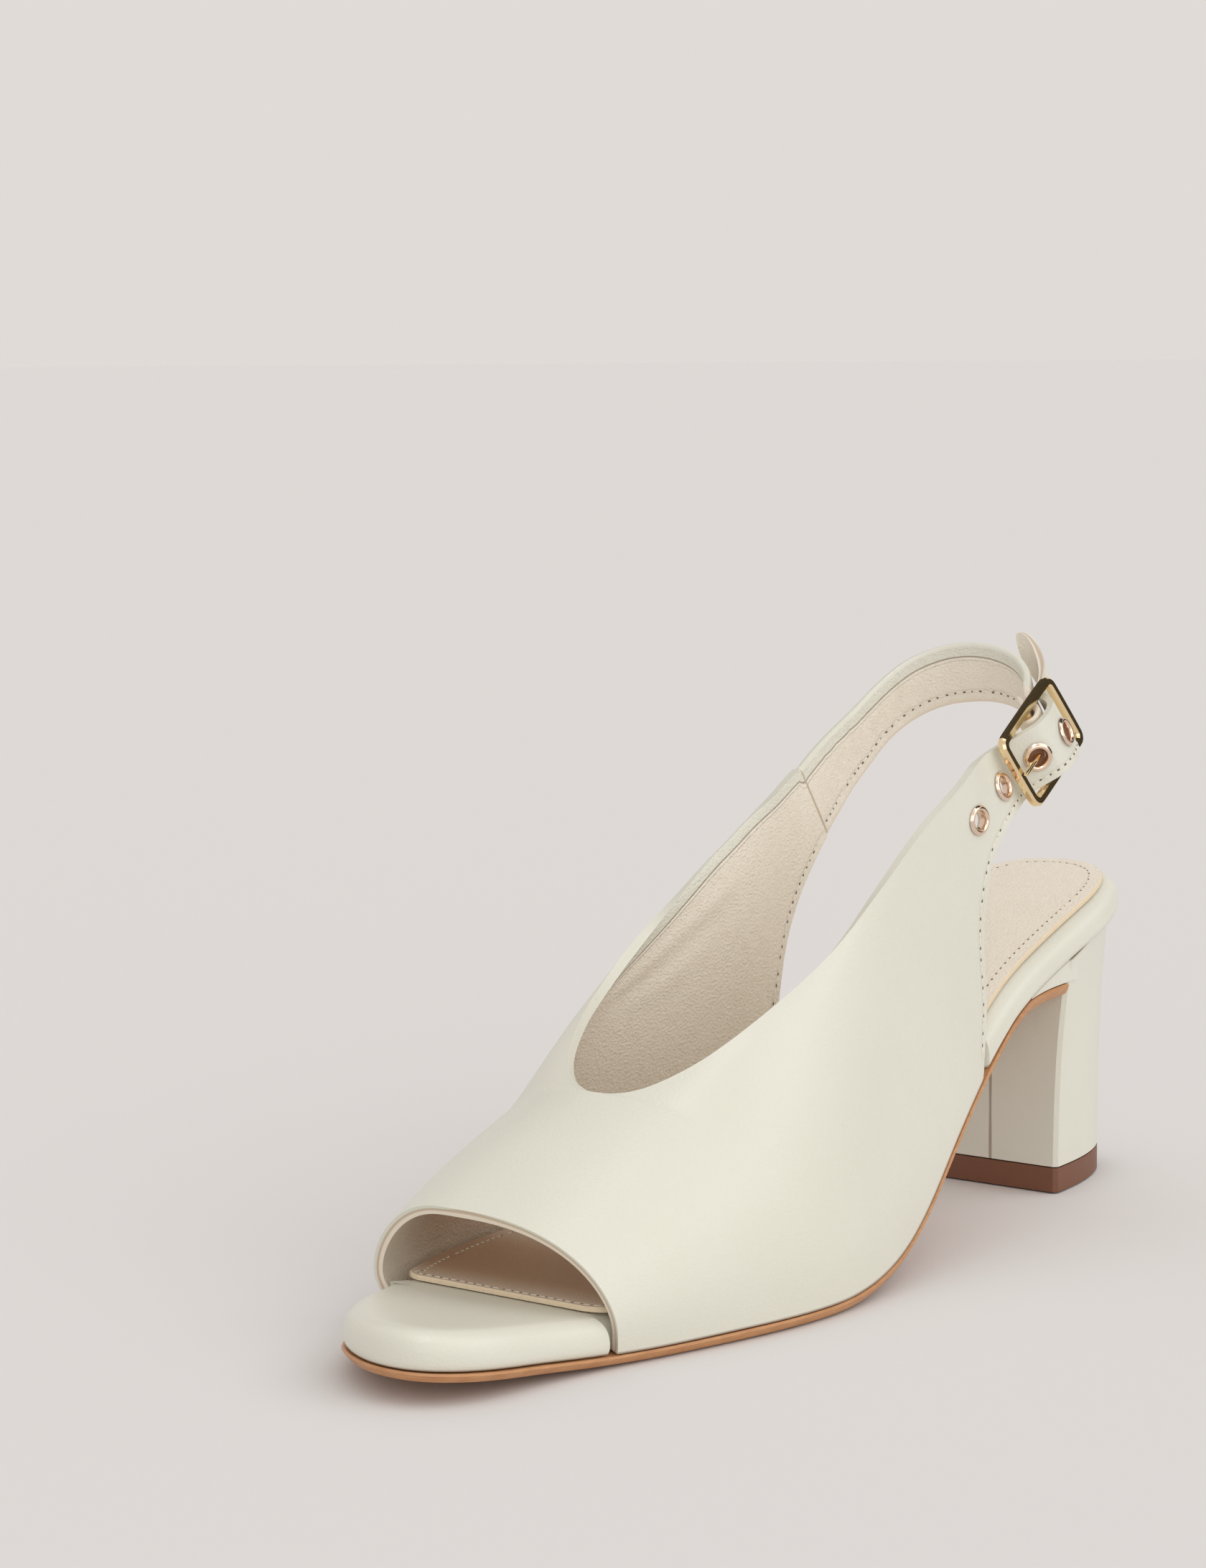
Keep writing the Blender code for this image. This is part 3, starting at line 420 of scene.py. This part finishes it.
def zone_border(piece, zone):
    """The lines between a zone and its edge: places on them, and the way into the zone."""
    mesh = bmesh.new()
    mesh.from_mesh(piece.data)
    border = {}
    for edge in mesh.edges:
        zones = [face.material_index for face in edge.link_faces]
        if sorted(zones) == sorted((zone, EDGE)):
            for point in edge.verts:
                border.setdefault(point, []).append(edge)

    def entry(edge):
        """The middle of a border edge, and the way from it into the zone."""
        face = next(f for f in edge.link_faces if f.material_index == zone)
        middle = (edge.verts[0].co + edge.verts[1].co) / 2
        along = (edge.verts[1].co - edge.verts[0].co).normalized()
        inward = face.calc_center_median() - middle
        return middle, (inward - along * inward.dot(along)).normalized()

    lines = []
    unused = {edge for edges in border.values() for edge in edges}
    while unused:
        first = min(unused, key=lambda e: e.index)
        line = [entry(first)]
        unused.discard(first)
        for point, forward in ((first.verts[0], False), (first.verts[1], True)):
            edge = next((e for e in border[point] if e in unused), None)
            while edge:
                unused.discard(edge)
                line.insert(len(line) if forward else 0, entry(edge))
                point = edge.other_vert(point)
                edge = next((e for e in border[point] if e in unused), None)
        if max((place - line[0][0]).length for place, _ in line) > WIDEST_HOLE * MM:
            lines.append(line)
    mesh.free()
    return lines


def stitch_path(piece, line, inset, front_inset=None):
    """The line moved into its zone by an inset in millimetres: places and facings on the surface."""
    path = []
    for place, inward in line:
        in_front = front_inset and place.y / MM < SOCK_FRONT_Y
        step = inward * (front_inset if in_front else inset) * MM
        _, spot, facing, _ = piece.closest_point_on_mesh(place + step)
        path.append((spot, facing))
    return path


def denser(path):
    """The same path with points added on the straight run along the sock's front edge."""
    close = []
    for (start, facing), (end, _) in zip(path, path[1:]):
        at_front = max(start.y, end.y) / MM < SOCK_FRONT_Y
        parts = max(1, round((end - start).length / MM)) if at_front else 1
        for part in range(parts):
            close.append((start.lerp(end, part / parts), facing))
    return close + path[-1:]


def stitched(name, paths, look, pitch=2.1, length=1.55, thick=0.42):
    """A row of stitches along each path: the threads are one joined mesh, the needle holes another."""
    points = []
    faces = []
    hole_points = []
    hole_faces = []
    for path in paths:
        gone = 0.0
        for (start, facing), (end, _) in zip(path, path[1:]):
            gap = (end - start).length / MM
            if gap > LONGEST_STEP:
                gone = 0.0
                continue
            gone += gap
            if gone < pitch:
                continue
            gone -= pitch
            along = (end - start).normalized()
            aside = facing.cross(along).normalized()
            first = len(points)
            for reach, size in THREAD_RINGS:
                for turn in range(THREAD_SIDES):
                    angle = 2 * math.pi * turn / THREAD_SIDES
                    across = aside * math.cos(angle) + facing * math.sin(angle) * THREAD_FLATNESS
                    points.append(start + (along * reach * length + across * size * thick / 2) * MM)
            last = first + THREAD_SIDES * (len(THREAD_RINGS) - 1)
            for ring in range(first, last, THREAD_SIDES):
                for turn in range(THREAD_SIDES):
                    a = ring + turn
                    b = ring + (turn + 1) % THREAD_SIDES
                    faces.append((a, b, b + THREAD_SIDES, a + THREAD_SIDES))
            faces.append(tuple(first + turn for turn in reversed(range(THREAD_SIDES))))
            faces.append(tuple(last + turn for turn in range(THREAD_SIDES)))
            hole = start + (along * pitch / 2 + facing * NEEDLE_RISE) * MM
            first_hole = len(hole_points)
            for turn in range(NEEDLE_SIDES):
                angle = 2 * math.pi * turn / NEEDLE_SIDES
                out = along * math.cos(angle) * NEEDLE_LENGTH + aside * math.sin(angle) * NEEDLE_WIDTH
                hole_points.append(hole + out * MM)
            hole_points.append(hole - facing * NEEDLE_DEPTH * MM)
            tip = first_hole + NEEDLE_SIDES
            hole_faces.append(tuple(range(first_hole, tip)))
            for turn in range(NEEDLE_SIDES):
                hole_faces.append((first_hole + (turn + 1) % NEEDLE_SIDES, first_hole + turn, tip))
    for part, part_points, part_faces, part_look in (
        (name, points, faces, look), (name + "_holes", hole_points, hole_faces, hole_shadow),
    ):
        mesh = bpy.data.meshes.new(part)
        mesh.from_pydata(part_points, [], part_faces)
        mesh.shade_smooth()
        row = bpy.data.objects.new(part, mesh)
        bpy.context.collection.objects.link(row)
        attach(row, "root")
        finish(row, "upper_leather", part_look)


def keep_distances(piece, lines):
    """Keeps on each point its distance in millimetres to each named line of points."""
    for name, line in lines.items():
        tree = kdtree.KDTree(len(line))
        for i, place in enumerate(line):
            tree.insert(place, i)
        tree.balance()
        far = piece.data.attributes.new(name, "FLOAT", "POINT")
        for i, point in enumerate(piece.data.vertices):
            far.data[i].value = min(tree.find(point.co)[2] / MM, FARTHEST)


def beige_skin(name):
    """Beige lining leather: the look, its wrinkles, and its colour before the painted toe shade and the
    bands.
    """
    look = Look(name, BEIGE, 0.55)
    wrinkles = look.noise(WRINKLES, 4)
    return look, wrinkles, look.mixed(wrinkles.step(0.35, 0.8) * 0.5, BEIGE, BEIGE_SHADE)


hole_shadow = Look("needle hole shadow", (0.20, 0.15, 0.10), 0.9)
cream_thread = Look("cream thread", (0.84, 0.80, 0.70), 0.5)
beige_thread = Look("beige thread", (0.80, 0.73, 0.60), 0.5)
raw_edge = Look("raw sock edge", (0.80, 0.66, 0.47), 0.6)
raw_edge.bump(raw_edge.noise(1800, 3), 0.00015)
beige_lining, sock_wrinkles, sock_colour = beige_skin("beige lining leather")
along_sock = beige_lining.along_shoe()
# Painted shade: under the vamp the sock's colour turns warm brown, standing for the shadow inside the toe
painted_shade_under_vamp = (0.35 + 0.65 * along_sock.step(-0.084, -0.070)) * (1 - along_sock.step(-0.055, -0.030))
beige_lining.link("Base Color", beige_lining.mixed(painted_shade_under_vamp * 0.85, sock_colour, PAINTED_TOE_SHADE))
beige_lining.bump(beige_lining.cells(PORES) * 0.6 + sock_wrinkles * 0.4, 0.0002)
sock_lining = copied("sock_lining")
for face in sock_lining.data.polygons:
    face.material_index = EDGE
for seed in SOCK_SEEDS:
    select_zone(sock_lining, seed, TOP)
subdivided(sock_lining)
corner = SOCK_CORNER * MM
sock_front = min(point.co.y for point in sock_lining.data.vertices)
front_row = [point.co.x for point in sock_lining.data.vertices if point.co.y < sock_front + 0.5 * MM]
sock_middle = (max(front_row) + min(front_row)) / 2
sock_half = (max(front_row) - min(front_row)) / 2
for point in sock_lining.data.vertices:
    short = max(corner - (point.co.y - sock_front), 0.0)
    cut = corner - math.sqrt(corner**2 - short**2)
    point.co.x = sock_middle + (point.co.x - sock_middle) * (sock_half - cut) / sock_half
sock_edge = zone_border(sock_lining, TOP)
finish(sock_lining, "lining_leather", beige_lining, beige_lining, raw_edge)
sock_paths = [stitch_path(sock_lining, line, SOCK_STITCH_INSET, SOCK_FRONT_INSET) for line in sock_edge]
stitched("sock_stitches", [denser(path) for path in sock_paths], beige_thread)

# Heel: a moulded block under a cover of the upper's leather, with a lip under the seat. The
# cover's two ends meet in a seam down the middle of the breast.
HEEL_SEAM_X, HEEL_SEAM_Y, HEEL_SEAM_LOW = 4.3, 86.7, 5.0
HEEL_SEAM_STEP, HEEL_SEAM_POINTS = 0.25, 190
SEAM_AND_SHADOW_BROWN = (0.30, 0.21, 0.13)
heel_leather, heel_colour = cream_skin("heel cover leather")
seam_line = 1 - heel_leather.attribute("to_seam").step(0.15, 0.55)
# Painted shadow: a dark line where the cover meets the footbed; the dark line down the breast is the seam's
# own colour
joint_shadow_line = 1 - heel_leather.attribute("to_joint").step(0.15, 0.8)
seam_and_shadow_share = heel_leather.place.math("MAXIMUM", seam_line * 0.75, joint_shadow_line * 0.8)
heel_leather.link("Base Color", heel_leather.mixed(seam_and_shadow_share, heel_colour, SEAM_AND_SHADOW_BROWN))
heel_grain = heel_leather.cells(PORES) * 0.5 + heel_leather.noise(PLUMPNESS, 2) * 0.5
heel_leather.bump(heel_grain - seam_line * 3, 0.00008)
heel_block = refined("heel_block", levels=3)
seam_heights = [HEEL_SEAM_LOW + HEEL_SEAM_STEP * k for k in range(HEEL_SEAM_POINTS)]
seam_points = [Vector((HEEL_SEAM_X, HEEL_SEAM_Y, height)) * MM for height in seam_heights]
keep_distances(heel_block, {"to_seam": seam_points})
keep_gap(heel_block, footbed)
finish(heel_block, "cover_leather", heel_leather)

# Upper: one skin of cream leather from the open toe to both wings, lined in beige. The skin is
# folded over the throat and the collar, and the wings' rear edges are cut and stitched.
OUTER = 0
FOLD_WIDTH = 2.2
STITCH_INSET = 1.5
SEAM_LOW = Vector((-17.9, 50.9, 82.0))
SEAM_TOP = Vector((-20.7, 44.1, 97.2))
SEAM_REACH = 2.4
TAIL_START_Y = 79.0
TOE_END_Y = -79.0
SIDES_MEET_X = 4.0
THROAT_END_Y = 24.0
THROAT_LOW_Z = 40.0
# The height that parts folded from stitched edges on each wing, and how far back the sole's
# edge goes: the wing starts at wing_y, and its parting height rises from part_z at part_y.
RIM_COLUMNS = ("wing_y", "part_y", "part_z", "rise", "sole_y", "sole_z")
MEDIAL_RIM = (24.0, 30.7, 68.0, 1.0, 33.5, 33.0)
LATERAL_RIM = (43.0, 51.6, 95.4, 0.466, 47.0, 37.5)
FRONT_PART_Z = 45.0


def from_seam_line(place):
    """Distance in millimetres from the seam that joins the sling strap to the medial wing."""
    seam = SEAM_TOP - SEAM_LOW
    share = min(max((place / MM - SEAM_LOW).dot(seam) / seam.length_squared, 0), 1)
    return (place / MM - SEAM_LOW - seam * share).length


def edge_kind(place):
    """Which edge of the upper a place on its rim lies on."""
    x, y, z = place / MM
    if from_seam_line(place) < SEAM_REACH:
        return "folded" if (place / MM - SEAM_TOP).length < SEAM_REACH else "seam"
    if x > SIDES_MEET_X and y > TAIL_START_Y:
        return "tail"
    if y < TOE_END_Y:
        return "toe"
    side = dict(zip(RIM_COLUMNS, MEDIAL_RIM if x < SIDES_MEET_X else LATERAL_RIM))
    part_z = FRONT_PART_Z
    if y > side["wing_y"]:
        part_z = side["part_z"] + (y - side["part_y"]) * side["rise"]
    if y < side["sole_y"] and z < side["sole_z"]:
        return "sole"
    if y < THROAT_END_Y and z < min(part_z, THROAT_LOW_Z):
        return "sole"
    return "folded" if y < THROAT_END_Y or z > part_z else "stitched"


vamp_upper = copied("vamp_upper", crease_degrees=55)
for face in vamp_upper.data.polygons:
    face.material_index = EDGE
select_zone(vamp_upper, (40, -20, 20), OUTER)
select_zone(vamp_upper, (30, -20, 30), LINING)
subdivided(vamp_upper, smooth_degrees=50)
outer_border = zone_border(vamp_upper, OUTER)
lining_border = zone_border(vamp_upper, LINING)
upper_rim = [place for line in outer_border + lining_border for place, _ in line]
keep_distances(vamp_upper, {
    "to_fold": [place for place in upper_rim if edge_kind(place) == "folded"],
    "to_stitch": [place for place in upper_rim if edge_kind(place) == "stitched"],
    "to_face": [place for line in outer_border for place, _ in line],
})
keep_gap(vamp_upper, outsole)
for face in vamp_upper.data.polygons:
    if face.material_index == EDGE and edge_kind(face.center) == "folded":
        face.material_index = OUTER

upper_leather, upper_colour = cream_skin("upper leather")
# Painted shadow: a thin dark brown line where the upper meets the outsole, for the shadow line at the joint
sole_joint_shadow = 1 - upper_leather.attribute("to_joint").step(0.25, 0.9)
upper_leather.link("Base Color", upper_leather.mixed(sole_joint_shadow * 0.85, upper_colour, JOINT_SHADOW_BROWN))
thread_line = 1 - abs(upper_leather.attribute("to_stitch") - STITCH_INSET).step(0.1, 0.9)
upper_leather.bump(cream_grain(upper_leather) - thread_line * 1.6, 0.00009)

GLEAM = (0.90, 0.86, 0.76)
FOLD_BROWN = (0.40, 0.30, 0.21)
GLUE_BROWN = (0.40, 0.25, 0.14)
RAW_LINING = (0.84, 0.76, 0.64)
upper_lining, lining_wrinkles, lining_colour = beige_skin("upper lining leather")
from_fold = upper_lining.attribute("to_fold")
folded_band = 1 - from_fold.step(FOLD_WIDTH - 0.1, FOLD_WIDTH + 0.1)
# A painted shadow line runs along the folded band's edge, with a painted highlight beside it on the raised
# edge of the fold
fold_shadow = 1 - abs(from_fold - FOLD_WIDTH - 0.05).step(0.05, 0.3)
fold_gleam = 1 - abs(from_fold - FOLD_WIDTH - 0.55).step(0.1, 0.4)
lining_thread_line = 1 - abs(upper_lining.attribute("to_stitch") - STITCH_INSET).step(0.1, 0.9)
banded_colour = upper_lining.mixed(folded_band, lining_colour, CREAM)
gleaming_colour = upper_lining.mixed(fold_gleam * 0.6, banded_colour, GLEAM)
shaded_colour = upper_lining.mixed(fold_shadow * 0.6, gleaming_colour, FOLD_BROWN)
along_upper = upper_lining.along_shoe()
# Painted shade: just inside the open toe the lining's colour turns warm brown, standing for the shadow there
painted_shade_in_vamp = along_upper.step(-0.080, -0.062) * (1 - along_upper.step(-0.050, -0.025))
upper_lining.link("Base Color", upper_lining.mixed(painted_shade_in_vamp * 0.55, shaded_colour, PAINTED_TOE_SHADE))
lining_grain = upper_lining.cells(1700) * 0.8 + upper_lining.noise(900, 3, (1, 1, 2.5)) * 0.8
fold_relief = folded_band * 1.2 + fold_gleam * 0.8 - lining_thread_line
upper_lining.bump(lining_grain + lining_wrinkles * 0.3 + fold_relief, 0.0002)

cut_edge = Look("cut leather edge", (0.72, 0.62, 0.48), 0.6)
from_face = cut_edge.attribute("to_face")
glue_line = 1 - abs(from_face - 1.0).step(0.1, 0.35)
cut_colour = cut_edge.mixed(from_face.step(0.7, 1.1), CREAM, RAW_LINING)
cut_edge.link("Base Color", cut_edge.mixed(glue_line * 0.55, cut_colour, GLUE_BROWN))
finish(vamp_upper, "upper_leather", upper_leather, upper_lining, cut_edge)

for name, border in (("upper_stitches", outer_border), ("lining_stitches", lining_border)):
    sewn = [[entry for entry in line if edge_kind(entry[0]) == "stitched"] for line in border]
    stitched(name, [stitch_path(vamp_upper, line, STITCH_INSET) for line in sewn], cream_thread)

# Sling strap: cream leather folded over its upper edge and lined, sewn to the medial wing, and
# stitched along its lower edge. It folds round the buckle's centre bar and back on itself.
STRAP_BEND_Y, STRAP_RISE = 48.0, 0.52
STRAP_MIDDLE_Z, LINING_MIDDLE_Z, BACK_MIDDLE_Z = 89.5, 91.0, 114.5
STRAP_BACK_X, BUCKLE_END_X = -12.0, 20.0
STRAP_SEAM_REACH = 2.6
slingback_strap = copied("slingback_strap", crease_degrees=35, crease=0.5)
for face in slingback_strap.data.polygons:
    face.material_index = EDGE
select_zone(slingback_strap, (0, 94, 115), OUTER)
select_zone(slingback_strap, (0, 85, 115), LINING)
subdivided(slingback_strap, smooth_degrees=60)
strap_outer = zone_border(slingback_strap, OUTER)
strap_lining = zone_border(slingback_strap, LINING)


def smooth_share(at, start, end):
    """0 at start and 1 at end, soft between them."""
    share = min(max((at - start) / (end - start), 0.0), 1.0)
    return share * share * (3 - 2 * share)


def creased(piece, height):
    """Raises or sinks a piece's lining along its facings by a height in millimetres."""
    inside = set()
    outside = set()
    for face in piece.data.polygons:
        (inside if face.material_index == LINING else outside).update(face.vertices)
    to_fold = piece.data.attributes["to_fold"].data
    moves = []
    for i in inside - outside:
        point = piece.data.vertices[i]
        moves.append((point, point.normal * height(point.co / MM, to_fold[i].value) * MM))
    for point, move in moves:
        point.co += move


# Long soft ridges and troughs below the medial collar, as the wing bends outward there
COLLAR_CREASE_COLUMNS = ("height", "below_fold", "drift", "start_y", "end_y", "width")
COLLAR_CREASES = (
    (0.30, 5.0, 0.06, -26.0, 26.0, 1.5),
    (-0.28, 8.0, 0.09, -22.0, 22.0, 1.7),
    (0.22, 11.5, 0.12, -16.0, 16.0, 2.0),
    (-0.16, 15.5, 0.16, -10.0, 10.0, 2.2),
)
# Short wrinkles across the strap's lining, where it curves round toward the heel
WRINKLE_COLUMNS = ("y", "lean", "depth", "width", "low", "high")
STRAP_WRINKLES = (
    (57.0, 0.30, 0.55, 1.0, -5.0, 3.0),
    (60.5, -0.20, 0.75, 1.1, -4.0, 4.0),
    (63.5, 0.25, 0.60, 0.9, -5.0, 2.0),
    (66.8, 0.10, 0.85, 1.1, -4.0, 4.0),
    (70.2, -0.25, 0.65, 1.0, -5.0, 3.0),
    (73.4, 0.20, 0.80, 1.0, -3.0, 4.0),
    (77.2, -0.15, 0.60, 1.1, -5.0, 2.0),
    (81.2, 0.25, 0.60, 1.2, -4.0, 3.0),
)


def collar_height(place, below_fold):
    """How far the medial wing's lining stands out at a place, from the table of creases."""
    height = 0.0
    if place.x > 0:
        return height
    for row in COLLAR_CREASES:
        crease = dict(zip(COLLAR_CREASE_COLUMNS, row))
        line = crease["below_fold"] + crease["drift"] * (place.y - crease["start_y"])
        shape = math.exp(-(((below_fold - line) / crease["width"]) ** 2))
        ends = smooth_share(place.y, crease["start_y"], crease["start_y"] + 12)
        ends *= 1 - smooth_share(place.y, crease["end_y"] - 14, crease["end_y"])
        height += crease["height"] * shape * ends
    return height


def wrinkle_height(place, below_fold):
    """How far the strap's lining sinks at a place, from the table of wrinkles."""
    height = 0.0
    if place.x > 0:
        return height
    across = place.z - LINING_MIDDLE_Z - (place.y - STRAP_BEND_Y) * STRAP_RISE
    for row in STRAP_WRINKLES:
        wrinkle = dict(zip(WRINKLE_COLUMNS, row))
        away = place.y + wrinkle["lean"] * across - wrinkle["y"]
        shape = math.exp(-((away / wrinkle["width"]) ** 2))
        ends = smooth_share(across, wrinkle["low"] - 2, wrinkle["low"] + 1)
        ends *= 1 - smooth_share(across, wrinkle["high"] - 1, wrinkle["high"] + 2)
        height -= wrinkle["depth"] * shape * ends
    return height * smooth_share(below_fold, FOLD_WIDTH, FOLD_WIDTH + 1.5)


def strap_edge_kind(place):
    """Which edge of the strap a place on its rim lies on. It has no stitches at the buckle."""
    x, y, z = place / MM
    if x > BUCKLE_END_X:
        return "buckle"
    if from_seam_line(place) < STRAP_SEAM_REACH:
        return "folded" if (place / MM - SEAM_TOP).length < STRAP_SEAM_REACH else "seam"
    middle = BACK_MIDDLE_Z
    if x < STRAP_BACK_X:
        middle = STRAP_MIDDLE_Z + (y - STRAP_BEND_Y) * STRAP_RISE
    return "folded" if z > middle else "stitched"


strap_rim = [place for line in strap_outer + strap_lining for place, _ in line]
keep_distances(slingback_strap, {
    "to_fold": [place for place in strap_rim if strap_edge_kind(place) == "folded"],
    "to_stitch": [place for place in strap_rim if strap_edge_kind(place) == "stitched"],
    "to_face": [place for line in strap_outer for place, _ in line],
})
keep_gap(slingback_strap, outsole)
creased(slingback_strap, wrinkle_height)
creased(vamp_upper, collar_height)
for face in slingback_strap.data.polygons:
    if face.material_index == EDGE and strap_edge_kind(face.center) == "folded":
        face.material_index = OUTER
finish(slingback_strap, "upper_leather", upper_leather, upper_lining, cut_edge)
for name, border in (("strap_stitches", strap_outer), ("strap_lining_stitches", strap_lining)):
    sewn = [[entry for entry in line if strap_edge_kind(entry[0]) == "stitched"] for line in border]
    stitched(name, [stitch_path(slingback_strap, line, STITCH_INSET) for line in sewn], cream_thread)

# Buckle and eyelets: the frame is cast with flat, polished faces and has a centre bar that the
# strap folds round. The prong hooks through a punched hole, and each hole has a pressed eyelet.
# Under the last two holes a dark brown disc stands for the strap's raw leather beneath, with the shade in
# the hole painted into its colour.
OVER_STRAP_Y = 58.0
HOLE_RADIUS = 2.05
HOLE_DEPTH = 0.55
HOLE_THICKNESS = 0.3
HOLE_RIM = 6.0
shaded_hole_disc = Look("raw leather and painted shade in the holes", (0.20, 0.095, 0.045), 0.7)
pale_gold = Look("pale gold plating", (0.90, 0.70, 0.42), 0.12, metallic=1.0)
rose_gold = Look("rose gold plating", (0.84, 0.66, 0.53), 0.16, metallic=1.0)
finish(refined("buckle_frame", crease_degrees=30), "gold_metal", pale_gold)
finish(refined("buckle_prong", crease_degrees=80), "gold_metal", pale_gold)
for number in range(1, 5):
    eyelet = refined(f"eyelet_{number}", crease_degrees=100)
    finish(eyelet, "rose_metal", rose_gold)
    middle = sum((point.co for point in eyelet.data.vertices), Vector()) / len(eyelet.data.vertices)
    if middle.y / MM < OVER_STRAP_Y:
        continue
    facing = Vector()
    for face in vamp_upper.data.polygons:
        if face.material_index == OUTER and (face.center - middle).length < HOLE_RIM * MM:
            facing += face.normal * face.area
    facing.normalize()
    bpy.ops.object.select_all(action="DESELECT")
    bpy.ops.mesh.primitive_cylinder_add(vertices=24, radius=HOLE_RADIUS * MM, depth=HOLE_THICKNESS * MM)
    hole = bpy.context.object
    hole.name = f"eyelet_hole_{number}"
    turned = facing.to_track_quat("Z", "Y").to_matrix().to_4x4()
    hole.data.transform(Matrix.Translation(middle - facing * HOLE_DEPTH * MM) @ turned)
    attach(hole, "root")
    finish(hole, "upper_leather", shaded_hole_disc)
